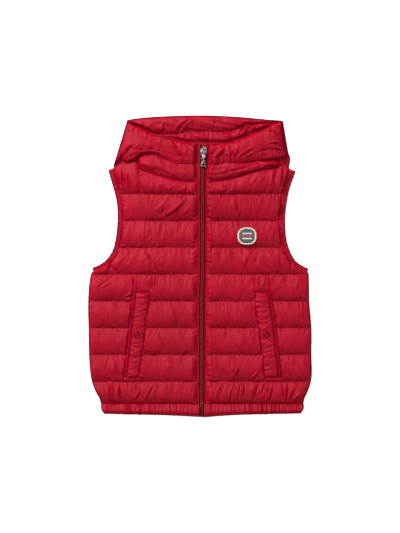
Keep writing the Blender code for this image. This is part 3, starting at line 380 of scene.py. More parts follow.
def tapeFinish():
    finish = Finish("zipTape", {"Roughness": 0.78, "Sheen Weight": 0.04, "Specular IOR Level": 0.06})
    where = finish.place()
    x, y, _ = finish.parts(where)
    twill = (x + y * 0.8).waves(0.9)
    dust = finish.noise(where, 0.4, 3, 0.6)
    tone = finish.mix(twill.between(-1, 1), (0.12, 0.0035, 0.006), (0.2, 0.006, 0.011))
    tone = finish.mix(dust.between(0.5, 0.8) * 0.3, tone, (0.22, 0.012, 0.016))
    tone = finish.mix(y.between(188.0, 204.0) * 0.9, tone, (0.012, 0.001, 0.001))  # painted shadow under the slider
    return finish.wear({"Base Color": tone, "Roughness": dust * 0.15 + 0.7,
                        "Normal": finish.relief(twill, 0.12)})


def coilFinish():
    finish = Finish("zipCoil", {"Roughness": 0.5, "Specular IOR Level": 0.04})
    where = finish.place()
    x, y, _ = finish.parts(where)
    smudge = finish.noise(where, 0.5, 3, 0.6)
    along = x + (1 - y.between(-50.0, -15.0)) * zipSizes["lean"]
    off = (along - 4.7).size()
    # painted highlight along the crest of each row, weaker where the rows meet in the middle
    crestHighlight = off.between(0.6, 1.1) * (1 - off.between(2.3, 2.8)) * (1 - along.between(4.0, 5.4) * 0.45)
    tone = finish.mix(smudge.between(0.35, 0.7), (0.11, 0.002, 0.004), (0.145, 0.004, 0.006))
    return finish.wear({"Base Color": finish.mix(crestHighlight * 0.9, tone, (0.2, 0.026, 0.03)),
                        "Roughness": smudge * 0.2 + 0.4, "Normal": finish.relief(smudge, 0.04)})


def nickelFinish():
    finish = Finish("nickel", {"Metallic": 0.72, "Roughness": 0.22})
    haze = finish.noise(finish.place(), 0.35, 4, 0.6)
    scratch = finish.noise(finish.place((6.0, 0.35, 1.0), 0.5), 0.9, 3, 0.6)
    darkReflection = finish.noise(finish.place((1.0, 0.7, 1.0), 0.4), 0.32, 2, 0.55, 0.8)
    tone = finish.mix(haze.between(0.4, 0.7), (0.93, 0.91, 0.88), (0.56, 0.53, 0.51))
    # painted reflection: near-black patches stand in for dark surroundings mirrored in the metal
    tone = finish.mix(darkReflection.between(0.43, 0.52), tone, (0.03, 0.025, 0.024))
    return finish.wear({"Base Color": tone, "Roughness": haze * 0.2 + scratch * 0.1 + 0.06,
                        "Normal": finish.relief(scratch, 0.03, 0.6)})


def enamelFinish():
    finish = Finish("snapEnamel", {"Roughness": 0.28, "Coat Roughness": 0.22, "Specular IOR Level": 0.0})
    haze = finish.noise(finish.place(), 0.4, 3, 0.5)
    tone = finish.mix(haze.between(0.35, 0.7), (0.2, 0.0008, 0.006), (0.14, 0.0005, 0.004))
    return finish.wear({"Base Color": tone, "Coat Weight": (1 - finish.facing().between(0.1, 0.35)) * 0.25,
                        "Roughness": haze * 0.16 + 0.2, "Normal": finish.relief(haze, 0.02)})


def stitchedFinish(name, dark, pale, turn):  # satin stitches side by side
    finish = Finish(name, {"Roughness": 0.55, "Sheen Weight": 0.3})
    x, _, _ = finish.parts(finish.place((1, 1, 1), turn))
    strand = x.waves(0.5)
    fuzz = finish.noise(finish.place((1, 0.3, 1), turn), 1.2, 3, 0.6)
    tone = finish.mix(strand.between(-1, 1) * 0.7 + fuzz * 0.25, dark, pale)
    return finish.wear({"Base Color": tone, "Normal": finish.relief(strand + fuzz * 0.5, 0.12)})


shell = nylonFinish("shellNylon", nylon["shell"])
lining = nylonFinish("liningNylon", nylon["lining"])
finishes = {
    "thread": threadFinish(),
    "tape": tapeFinish(),
    "coil": coilFinish(),
    "nickel": nickelFinish(),
    "enamel": enamelFinish(),
    "patchEdge": stitchedFinish("patchEdge", (0.55, 0.46, 0.36), (0.86, 0.78, 0.66), 0.0),
    "patchField": stitchedFinish("patchField", (0.03, 0.04, 0.045), (0.075, 0.095, 0.1), 0.6),
    "patchPale": stitchedFinish("patchPale", (0.6, 0.56, 0.5), (0.85, 0.82, 0.76), 1.57),
    "patchRed": stitchedFinish("patchRed", (0.4, 0.01, 0.03), (0.6, 0.03, 0.05), 1.57),
}
print("finishes mixed")


def finer(grid, ways=(0, 1)):  # twice as many points each way, on a smooth surface
    for axis in ways:
        g = np.moveaxis(grid, axis, 0)
        ends = np.concatenate([[2 * g[0] - g[1]], g, [2 * g[-1] - g[-2]]])
        between = (9 * (ends[1:-2] + ends[2:-1]) - ends[:-3] - ends[3:]) / 16
        made = np.empty((2 * len(g) - 1, *g.shape[1:]))
        made[::2], made[1::2] = g, between
        grid = np.moveaxis(made, 0, axis)
    return grid


def outerTree():  # points along the vest's outermost edge
    sideKeys = ("armhole", "side", "hoodSide", "hemSide")
    lines = [flow(outline[key][side], 16) for key in sideKeys for side in (-1, 1)]
    lines += [flow(outline[key], 24) for key in ("hoodTop", "hemEdge")]
    points = np.vstack(lines)
    tree = KDTree(len(points))
    for n, (x, y) in enumerate(points):
        tree.insert((x, y, 0), n)
    tree.balance()
    return tree


# how far in from the vest's outer edge the painted shade reaches
edgeBand = {"wide": 4.2, "tree": outerTree()}


def meshPiece(name, vertices, faces, finish, slot):
    mesh = bpy.data.meshes.new(name)
    mesh.from_pydata((np.asarray(vertices) * mm).tolist(), [], faces)
    work = bmesh.new()
    work.from_mesh(mesh)
    bmesh.ops.recalc_face_normals(work, faces=work.faces)
    work.to_mesh(mesh)
    work.free()
    mesh.shade_smooth()
    obj = bpy.data.objects.new(name, mesh)
    bpy.context.scene.collection.objects.link(obj)
    mesh.materials.append(finish)
    # shell and lining carry a mask for the painted shade along the outer edge
    if finish in (shell, lining):
        away = np.array([edgeBand["tree"].find((v[0], v[1], 0))[2] for v in vertices])
        mark = mesh.attributes.new("outerEdge", "FLOAT", "POINT")
        mark.data.foreach_set("value", smooth(1 - away / edgeBand["wide"]).astype(np.float32))
    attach(obj, "vest")
    return obj


def tubeFaces(first, rings, sides):  # rings of vertices joined in a row, and both ends closed
    faces = []
    for r in range(rings - 1):
        for k in range(sides):
            a, b = first + r * sides + k, first + r * sides + (k + 1) % sides
            faces.append([a, b, b + sides, a + sides])
    return faces + [[first + r * sides + k for k in range(sides)] for r in (0, rings - 1)]


def closedSheet(top, floor, step):  # vertices and faces of a top surface closed by a coarser underside
    rows, columns = top.shape[:2]
    low = np.concatenate([top[::step, ::step, :2], floor[::step, ::step, None]], axis=2)
    lowRows, lowColumns = low.shape[:2]
    at = lambda i, j: i * columns + j
    under = lambda i, j: rows * columns + i * lowColumns + j
    faces = [[at(i, j), at(i, j + 1), at(i + 1, j + 1), at(i + 1, j)]
             for i in range(rows - 1) for j in range(columns - 1)]
    faces += [[under(i, j), under(i + 1, j), under(i + 1, j + 1), under(i, j + 1)]
              for i in range(lowRows - 1) for j in range(lowColumns - 1)]
    corners = [(0, j) for j in range(lowColumns - 1)]
    corners += [(i, lowColumns - 1) for i in range(lowRows - 1)]
    corners += [(lowRows - 1, j) for j in range(lowColumns - 1, 0, -1)]
    corners += [(i, 0) for i in range(lowRows - 1, 0, -1)]
    for (i, j), (k, m) in zip(corners, corners[1:] + corners[:1]):
        di, dj = np.sign(k - i), np.sign(m - j)
        fine = [at(i * step + di * n, j * step + dj * n) for n in range(step + 1)]
        faces.append([under(i, j), *fine, under(k, m)])
    return np.concatenate([top.reshape(-1, 3), low.reshape(-1, 3)]), faces


def sheetPiece(name, top, floor, finish, slot, step=4):
    return meshPiece(name, *closedSheet(top, floor, step), finish, slot)


def setDown(name, top):  # a padded piece, rested on what is under it and drawn in beside the zip
    x, y = top[..., 0], top[..., 1]
    floor = frontFloor(x, y)
    top[..., 2] = np.maximum(top[..., 2], floor + front["thinnest"])
    top[..., 0] = drawnIn(x, y)
    return sheetPiece(name, top, floor, shell, "shell")


puffing = {
    "frames": 60,
    "quality": 5,
    "scale": 10.0,  # cloth is solved at ten times its size
    "pressure": 13.0,
    "stiffness": 40.0,
    "shear": 16.0,
    "bending": 3.0,
    "mass": 0.01,
}
waiting = []  # sheets of cloth that are waiting to be filled


def layCloth(name, plan, start, pinned, stretch):
    turned = plan[0, 1, 0] < plan[0, 0, 0]  # so that the pressure pushes up on both sides
    rows, columns = plan.shape[:2]
    big = mm * puffing["scale"]
    faces = []
    for i in range(rows - 1):
        for j in range(columns - 1):
            a, b = i * columns + j, i * columns + j + 1
            c, d = b + columns, a + columns
            faces += [(a, b, c), (a, c, d)] if (i + j) % 2 else [(a, b, d), (b, c, d)]
    if turned:
        faces = [face[::-1] for face in faces]
    mesh = bpy.data.meshes.new(name + "Cloth")
    points = np.concatenate([plan, start[..., None]], axis=2).reshape(-1, 3)
    mesh.from_pydata((points * big).tolist(), [], faces)
    obj = bpy.data.objects.new(name + "Cloth", mesh)
    bpy.context.scene.collection.objects.link(obj)
    obj.shape_key_add(name="Basis")
    cut = obj.shape_key_add(name="cut")
    flat = points * (stretch[0], stretch[1], 0.0)
    cut.data.foreach_set("co", (flat * big).astype(np.float32).ravel())
    group = obj.vertex_groups.new(name="sewn")
    group.add(np.nonzero(pinned.ravel())[0].tolist(), 1.0, "REPLACE")
    cloth = obj.modifiers.new("cloth", "CLOTH")
    settings = cloth.settings
    settings.vertex_group_mass = "sewn"
    settings.quality, settings.mass, settings.air_damping = puffing["quality"], puffing["mass"], 1.0
    settings.tension_stiffness = settings.compression_stiffness = puffing["stiffness"]
    settings.shear_stiffness, settings.bending_stiffness = puffing["shear"], puffing["bending"]
    settings.bending_damping = 0.5
    settings.use_pressure, settings.uniform_pressure_force = True, puffing["pressure"]
    settings.rest_shape_key = cut
    settings.effector_weights.gravity = 0
    cloth.collision_settings.use_collision = False
    cloth.point_cache.frame_end = puffing["frames"] + 1
    waiting.append((name, obj, plan.shape[:2]))


def fillCloth():  # runs every waiting sheet together, and gives each one's points
    filled = {}
    scene = bpy.context.scene
    for step in range(1, puffing["frames"] + 1):
        scene.frame_set(step)
    graph = bpy.context.evaluated_depsgraph_get()
    for name, obj, shape in waiting:
        shown = obj.evaluated_get(graph)
        points = np.zeros(len(shown.data.vertices) * 3)
        shown.data.vertices.foreach_get("co", points)
        filled[name] = points.reshape(*shape, 3) / (mm * puffing["scale"])
        bpy.data.objects.remove(obj)
    scene.frame_set(1)
    return filled


binding = {"wide": 6.5, "thick": 2.0, "low": 1.4, "insideLine": 4.2, "crown": 2.7}
welt = {
    "y": [-45.2, -83, -110, -135, -161, -190, -200.5],
    -1: {"inner": [-87.4, -92.4, -95.9, -99.2, -102.5, -106.3, -107.6],
         "outer": [-111.4, -115.6, -118.6, -121.3, -124.2, -127.4, -128.5]},
    1: {"inner": [96.1, 99, 103.6, 107.1, 110.7, 113, 113.6],
        "outer": [118.9, 125.4, 128.2, 131, 134, 137.2, 138.3]},
    "wall": 2.6,
    "crown": 4.0,
    "piping": 4.6,
    "pipingTall": 4.4,
    "lift": 1.7,
    "creases": 20,
    "tackTop": -192.0,  # where the welt's gathered end begins
    "across": (0, 0.04, 0.09, 0.15, 0.22, 0.3, 0.38, 0.46, 0.54, 0.62, 0.7, 0.77, 0.83, 0.89, 0.94, 0.975, 1),
    "folds": {
        -1: [(-112, -73, -97, -70, 1.5, -1.5, 0.0), (-114, -91, -101, -86, 1.5, -1.3, 0.0),
             (-108, -56, -97, -54, 1.5, -1.2, 0.0), (-116, -100, -105, -97, 1.4, 1.0, 0.0),
             (-118, -134, -104, -134.5, 1.3, -1.6, 0.6), (-118, -140.5, -103, -141, 1.3, -1.8, -0.6),
             (-114, -149, -104, -146, 1.5, 1.2, 0.0), (-119, -160, -106, -157, 1.4, -1.2, 0.0),
             (-121, -171, -107, -166, 1.5, -1.5, 0.8), (-122, -181, -111, -177, 1.4, -1.4, 0.0)],
        1: [(98, -56, 106, -60, 1.6, -1.2, 0.0), (103, -74, 112, -70, 1.4, -1.1, 0.0),
            (108, -84, 121, -78, 1.6, -1.5, -1.0), (111, -93, 124, -87, 1.5, -1.6, 0.8),
            (111, -101, 124, -95, 1.5, -1.5, 0.0), (110, -109, 118, -104, 1.5, 1.2, 0.0),
            (111, -135, 124, -131, 1.5, -1.6, 0.0), (113, -143, 128, -138, 1.7, -1.7, 0.8),
            (112, -151, 128, -147, 1.5, -1.3, 0.0), (117, -163, 131, -156, 1.6, -1.4, 0.0),
            (113, -172, 123, -175, 1.5, -1.3, 0.0), (116, -184, 130, -179, 1.5, -1.2, 0.0)],
    },
}
front = {
    "seamWall": 2.2,
    "edgeWall": 1.4,
    "thinnest": 0.9,
    "crown": 8.6,
    "edgeRound": 17.0,
    "columns": 60,
    "rows": 18,
    "stretch": (1.085, 1.10),  # cut larger than its frame, so that it gathers along the seams
    "pucker": 0.44,
    "slump": 0.25,  # the filling lies a little low in each channel
    "started": 0.75,  # share of the crown that the cloth starts from
    "shaken": 0.55,
    "fullest": 1.6,  # in crowns
    "creases": 22,  # along each seam
    "armholeFoot": 4.0,  # where the binding's sewn line ends
    "folds": [
        (-66, 88, -24, 121, 4.0, 2.8), (-60, 84, -26, 112, 4.0, -1.8), (-48, 84, -18, 108, 3.4, -1.5),
        (-40, 88, -14, 110, 3.2, 2.0), (-80, 96, -60, 116, 4.0, 1.6), (-72, 88, -60, 102, 3.4, -1.8),
        (-116, -12, -114.5, -46, 1.9, -2.5, 0.0), (-111.5, -14, -111, -40, 1.6, 1.8, 0.0),
        (-83.5, -13, -87, -46, 1.9, -2.2, 0.0), (-79, -14, -82, -36, 1.8, 1.6, 0.0),
        (96, -12, 97, -46, 2.0, -2.2, 0.0), (101, -14, 102, -38, 1.6, 1.4, 0.0),
        (123, -14, 121.5, -46, 2.0, -2.3, 0.0), (127, -14, 126, -36, 1.7, 1.8, 0.0),
        (108, -14, 104, -36, 2.2, -1.0, 0.0), (116, -13, 110, -34, 2.2, 1.4, 0.0),
        (-105, -206, -104, -232, 1.6, -1.4, 0.0), (112, -206, 110, -226, 1.8, -1.2, 0.0),
        (-92, 30, -74, -6, 4.0, -2.2), (-96, 28, -80, -2, 4.0, 1.8), (-84, 20, -68, -10, 3.4, 1.8),
        (-161, 8, -147, -8, 5.0, -2.0),
        (-48, -70, -43, -98, 6.0, 1.6), (-87, -20, -87, -42, 5.0, -1.8), (-150, -160, -146, -192, 7.0, 1.6),
        (-158, 10.5, -163.8, -8.4, 1.7, 2.4, 0.0), (-153, 12, -157.5, -5, 1.8, -2.4, 0.0),
        (-149.6, 17, -154.3, 1, 1.8, 1.9, 0.0), (-168, 3, -171, -9, 1.8, -1.8, 0.0),
        (161, 12, 168, -8, 1.8, 2.0, 0.0),
        (156, 15, 162, -4, 1.8, -1.9, 0.0),
        (-143, 166, -137, 138, 3.0, -2.4), (-139, 167, -132, 136, 2.6, 2.2),
        (-134, 168, -128, 140, 2.6, -2.2), (-129, 164, -122, 138, 2.8, 2.0),
        (-124, 160, -118, 140, 3.0, -1.8), (-112, 150, -104, 126, 3.4, 1.8),
        (-106, 150, -98, 128, 3.0, -1.6), (-84, 146, -78, 126, 3.0, 1.4), (-66, 142, -58, 126, 3.0, -1.4),
        (142, 176, 139.5, 144, 2.4, 2.2, 0.0), (147.5, 176, 145.5, 146, 1.9, -1.5, 0.0),
        (135, 172, 131, 146, 2.2, -1.2, 0.0), (128, 172, 124, 142, 2.8, 1.6, 0.0),
        (112, 168, 92, 146, 4.0, 1.4), (40, 152, 52, 128, 3.0, -1.4),
        (58, 118, 70, 88, 5.0, 1.6), (66, 100, 60, 76, 4.0, -1.4), (70, 16, 80, -8, 5.0, -1.8),
        (88, 26, 76, -2, 5.0, 1.7), (104, 24, 96, -4, 4.5, -1.6), (111, 18, 125, -10, 5.0, -1.9),
        (139, 12, 150, -11, 5.0, -1.8), (31, -166, 45, -192, 5.0, -1.7), (58, -166, 67, -188, 5.0, 1.5),
        (-183, -35, -164, -22.5, 1.9, 1.8, 0.0), (-174, -37, -153, -25, 1.9, 1.5, 0.0),
        (-180, -29, -166, -19, 1.6, -1.4, 0.0), (-130, -52, -118.5, -46.5, 1.5, 2.0, 0.0),
        (-128, -58, -118.5, -55, 1.3, 1.5, 0.0), (-131, -55, -119, -51, 1.3, -1.6, 0.0),
        (102, -182, 89, -198, 1.4, 2.2, 0.0), (104, -188, 93, -199, 1.4, -1.8, 0.0),
        (68, -174, 59, -191, 1.6, 2.0, 0.0), (63, -176, 55, -190, 1.6, -1.5, 0.0),
        (-157.5, -201, -155, -242, 1.9, -2.8, 0.0), (-138.5, -201, -136, -242, 1.8, -2.8, 1.0),
        (-153.5, -204, -152.5, -232, 1.5, 2.6, 0.0), (-142, -208, -143.5, -226, 1.4, 2.3, 0.0),
        (-166, -212, -161, -238, 2.0, -1.2, 0.0), (-110.5, -204, -109.5, -219, 1.3, -1.4, 0.0),
        (-106.5, -219, -114.5, -232, 1.3, 2.9, 0.0), (-103, -218, -110, -232, 1.4, -1.2, 0.0),
        (-83, -207, -98, -234, 1.3, 2.6, 0.0), (-79.5, -208, -94, -234, 1.5, -1.2, 0.0),
        (-80, -212, -75, -230, 1.2, 1.6, 0.0), (-57, -204, -62, -216, 1.3, 1.7, 0.0),
        (38, -204, 28, -236, 1.9, 2.4), (45, -204, 35, -236, 1.9, -1.3), (58, -206, 50, -238, 2.2, 1.8),
        (76.5, -204, 72, -229, 1.4, 2.9, 0.0), (70.5, -205, 67.5, -230, 1.6, -1.3, 0.0),
        (80.5, -206, 76, -228, 1.5, -1.0, 0.0), (96, -203, 88, -232, 2.0, 2.0, 0.0),
        (103, -203, 94, -236, 1.8, -1.4, 0.0), (125.5, -210, 118.5, -233, 1.4, 3.0, 0.0),
        (128.5, -212, 122, -234, 1.5, -1.5, 0.0), (116, -207, 117.5, -223, 1.2, 2.0, 0.0),
        (112.5, -207, 113.5, -224, 1.3, -1.1, 0.0), (145.5, -203, 147.5, -236, 1.6, -2.5, 0.0),
        (151.5, -203, 148.5, -233, 1.4, 3.0, 0.0), (155, -204, 153, -232, 1.4, -1.1, 0.0),
        (163.5, -211, 154, -232, 1.3, 2.0, 0.0), (167, -214, 158, -234, 1.4, -1.2, 0.0),
        (170, -224, 162, -237, 1.3, 2.3, 0.0), (-72, -212, -78, -238, 2.6, -1.0),
        (-42, -206, -46, -232, 3.0, -0.8), (-24, -212, -27, -238, 2.5, 1.4),
        (-10, -208, -14, -232, 3.0, -0.8),
    ],
}

def weltAt(y, side):
    ys = welt["y"][::-1]
    return np.interp(y, ys, welt[side]["inner"][::-1]), np.interp(y, ys, welt[side]["outer"][::-1])


def offWelt(x, y, side):  # distance from the welt and its piped edge
    inner, outer = weltAt(y, side)
    off = np.maximum((inner - x) * side, (x - outer) * side - welt["piping"])
    return np.maximum(off, np.maximum((y - welt["y"][0]) / 3, welt["y"][-1] - y))


def seamLines():  # the hem's seam and the quilt lines, from the hem up
    lines = [quilt["top"] - quilt["pitch"] * k for k in range(quilt["lines"])]
    return [quilt["hem"] + lie["seamGap"], *lines[::-1]]


def frontColumns(outer, side):
    width = abs(outer - zipEdge(side))
    strip = zipSizes["strip"][side] * np.array([0.0, 0.22, 0.45, 0.72, 1.0])
    edge = [width - 9.4, width - 6.4, width - binding["insideLine"], width - 1.6, width]
    middle = np.linspace(strip[-1], edge[0], front["columns"] + 1)[1:-1]
    return zipEdge(side) + side * np.array([*strip, *middle, *edge])


def frontGrid(side):  # plan, channel and share of the channel's height at each point
    lines = seamLines()
    plan, channel, share = [], [], []
    for k, (low, high) in enumerate(zip(lines, lines[1:])):
        for t in np.arange(front["rows"]) / front["rows"]:
            y = low + (high - low) * t
            pinch = quilt["scallop"] * (1 - down(t)) * smooth(-y / 15)
            x = frontColumns(outerX(y, side) - side * pinch, side)
            plan.append(np.stack([x, np.full_like(x, y)], axis=1))
            channel.append(k)
            share.append(t)
    shoulder = quilt["shoulder"]
    for _ in range(4):  # where the neck line meets the armhole
        shoulder = float(curveY("neck", outerX(shoulder, side)))
    for t in np.linspace(0, 1, front["rows"] + 1):
        x = frontColumns(outerX(quilt["top"] + (shoulder - quilt["top"]) * t, side), side)
        y = quilt["top"] + (curveY("neck", x) - lie["seamGap"] / 2 - quilt["top"]) * t
        plan.append(np.stack([x, y], axis=1))
        channel.append(quilt["lines"])
        share.append(t)
    shape = np.ones(len(plan[0]))
    return np.array(plan), np.outer(channel, shape), np.outer(share, shape)


def shakeDown(seed, shape):  # soft unevenness of the down
    rng = np.random.default_rng(seed)
    n = rng.normal(size=shape)
    for _ in range(5):
        n = (n + np.roll(n, 1, 0) + np.roll(n, -1, 0) + np.roll(n, 1, 1) + np.roll(n, -1, 1)) / 5
    return n / n.std()


def wallHeight(fromZip, fromEdge, side):  # flat cloth with a rounded edge beside the zip
    middle, half, high = zipSizes["edgeRoll"][side]
    wall = front["edgeWall"] + (front["seamWall"] - front["edgeWall"]) * smooth(fromEdge / 5)
    end, wide = zipSizes["step"][side]
    wall = wall - zipSizes["stepDeep"] * smooth((end - fromZip) / wide)
    wall = wall + zipSizes["slope"][side] * np.clip(fromZip - 1.6, 0, 4.5) * smooth((24 - fromZip) / 14)
    return wall + high * bump(fromZip - middle, half)


def layFront(side, word):
    plan, channel, share = frontGrid(side)
    x, y = plan[..., 0], plan[..., 1]
    floor = frontFloor(x, y)
    fromZip, fromEdge = fromEdges(x, side)
    wall = wallHeight(fromZip, fromEdge, side)
    away = offWelt(x, y, side)
    clear = smooth((away + 0.8) / 3.5)
    uneven = 1 + 0.09 * np.sin(x / 29 + 2.1 * channel) + 0.06 * np.sin(x / 15 + 1.3 * channel)
    crown = front["crown"] * down(share) * uneven * smooth((fromZip - zipSizes["strip"][side] + 1) / 6)
    crown *= rounded(fromEdge, front["edgeRound"])
    crown *= clear
    start = floor + wall + front["started"] * crown
    start += front["shaken"] * shakeDown(11 + side, x.shape) * smooth(crown / 2)
    start += folds(x, y, front["folds"]) * 0.5 * np.sqrt(down(share)) * clear
    atArmhole = y > front["armholeFoot"]
    sewnLine = (np.abs(fromEdge - binding["insideLine"]) < 0.6) & atArmhole
    start = np.where(sewnLine, floor + wall - 0.5, start)
    outside = (fromEdge < binding["insideLine"] - 0.7) & (fromEdge > 0.7) & atArmhole
    start = np.where(outside, start + 1.2, start)
    inner, outer = weltAt(y, side)
    across = (x - inner) * side
    sewnEdge = bump(across, 2.2) * (y < welt["y"][0] + 6) * (y > welt["y"][-1] - 4)
    sewnTop = bump(y - (welt["y"][0] + 1), 2.5) * (across > -2) * (across < (outer - inner) * side + 6)
    start += welt["lift"] * np.maximum(sewnEdge, sewnTop)
    pinned = (share == 0) | (share == 1) | (fromZip < zipSizes["strip"][side] + 0.1)
    pinned |= (fromEdge < 0.1) | (away < 0.3) | sewnLine
    layCloth("front" + word, plan, start, pinned, front["stretch"])
    return {"floor": floor, "wall": wall, "share": share, "side": side, "away": away}


def creases(x, y, lines, seed, count, long, high, turn=0.0):  # short uneven runs out of the seams
    rng = np.random.default_rng(seed)
    relief = np.zeros_like(x)
    for x0, x1, y0, y1 in lines:
        for _ in range(count):
            t = rng.random()
            sx, sy = x0 + (x1 - x0) * t, y0 + (y1 - y0) * t
            lean = turn + rng.normal(0, 0.45)
            reach = rng.uniform(*long) * rng.choice([-1, 1], p=[0.45, 0.55])
            ex, ey = sx + reach * math.sin(lean), sy + reach * math.cos(lean)
            near = (np.abs(x - sx) < abs(reach) + 6) & (np.abs(y - sy) < abs(reach) + 6)
            if near.any():
                shape = [(sx, sy, ex, ey, rng.uniform(1.5, 2.6), rng.uniform(*high) * rng.choice([-1, 1]))]
                relief[near] += folds(x[near], y[near], shape)
    return relief


def startGently(points, base, side):  # less filling beside the zip's edge on the wearer's right
    if side < 0:
        rise = smooth((np.abs(points[..., 0] - zipEdge(side)) - zipSizes["strip"][side] + 1) / 10)
        points[..., 2] = base + (points[..., 2] - base) * (0.4 + 0.6 * rise)


def besideZip(fromZip, side):  # 1 where the filling starts, fading away from the zip
    past = fromZip - zipSizes["strip"][side]
    return smooth((past + 0.5) / 2) * np.exp(-np.clip(past - 1, 0, None) / 5)


def seamGathers(x, toSeam, nearest, side):  # uneven gathers on both sides of each quilt line
    wave = np.zeros_like(x)
    for n in range(quilt["lines"]):
        for above in (0, 1):
            here = (nearest == n) & ((toSeam > 0) == above)
            lean = 0.35 * ripple(x[here], 300 + n, 40, 110)
            wave[here] = ripple(x[here] + lean * toSeam[here], 100 * n + 10 * above + 5 + side, 5.5, 17)
            wave[here] *= np.clip(0.6 + 0.75 * ripple(x[here], 500 + n + above, 22, 75), 0.05, 1.7)
    return front["pucker"] * wave * np.exp(-np.abs(toSeam) / 7.0) * smooth(np.abs(toSeam) / 2.2)


def edgeGathers(x, y, fromZip, inside, away, side):  # gathers beside zip, armhole and pocket
    gather = ripple(y + 0.25 * fromZip, 40 + side, 4.5, 11)
    gather *= 0.55 if side > 0 else 0.2 + 0.35 * smooth((y + 60) / 60)
    relief = gather * besideZip(fromZip, side)
    gather = ripple(y + 0.3 * x, 61 + side, 4.0, 9.5) * np.exp(-np.clip(inside - 1, 0, None) / 4)
    relief += 0.5 * gather * smooth((y - front["armholeFoot"]) / 8) * smooth((inside + 1.2) / 1.6)
    gather = ripple(y + 0.45 * x, 45 + side, 5, 12) * np.clip(0.5 + ripple(y, 49 + side, 30, 80), 0, 1.4)
    gather *= smooth((welt["y"][0] - y) / 8)
    return relief + 0.6 * gather * smooth(away / 2.5) * np.exp(-np.clip(away - 2, 0, None) / 4.5)


def sewFront(points, made, word):
    side = made["side"]
    base = made["floor"] + made["wall"]
    points[..., 2] = base + (points[..., 2] - base) * (1 + front["slump"] * (1 - 2 * made["share"]))
    startGently(points, base, side)
    cap = made["wall"] + 0.5 + front["crown"] * front["fullest"] * smooth((made["away"] + 1.4) / 3)
    points[..., 2] = np.clip(points[..., 2], made["floor"] + 1.0, made["floor"] + cap)
    top = finer(finer(points), (1,))
    share, away = (finer(finer(made[k][..., None]), (1,))[..., 0] for k in ("share", "away"))
    x, y = top[..., 0], top[..., 1]
    fromZip, fromEdge = fromEdges(x, side)
    inside = fromEdge - binding["insideLine"]
    lines = np.array(seamLines()[1:])
    nearest = np.abs(y[..., None] - lines).argmin(axis=-1)
    toSeam = y - lines[nearest]
    top[..., 2] += folds(x, y, front["folds"]) * 0.9 * smooth(np.abs(toSeam) / 5) * smooth((away + 0.8) / 3)
    clear = smooth((away - 1.5) / 4) * smooth((fromZip - zipSizes["strip"][side]) / 3) * smooth(inside / 4)
    top[..., 2] += seamGathers(x, toSeam, nearest, side) * clear
    seams = [(zipEdge(side) + side * 8, float(outerX(line, side)) - side * 8, line, line) for line in lines]
    runs = creases(x, y, seams, 60 + side, front["creases"], (9, 30), (0.3, 1.0))
    top[..., 2] += runs * clear * np.sqrt(down(share))
    top[..., 2] += edgeGathers(x, y, fromZip, inside, away, side)
    obj = setDown("front" + word, top)
    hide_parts("front_" + word.lower())
    return obj


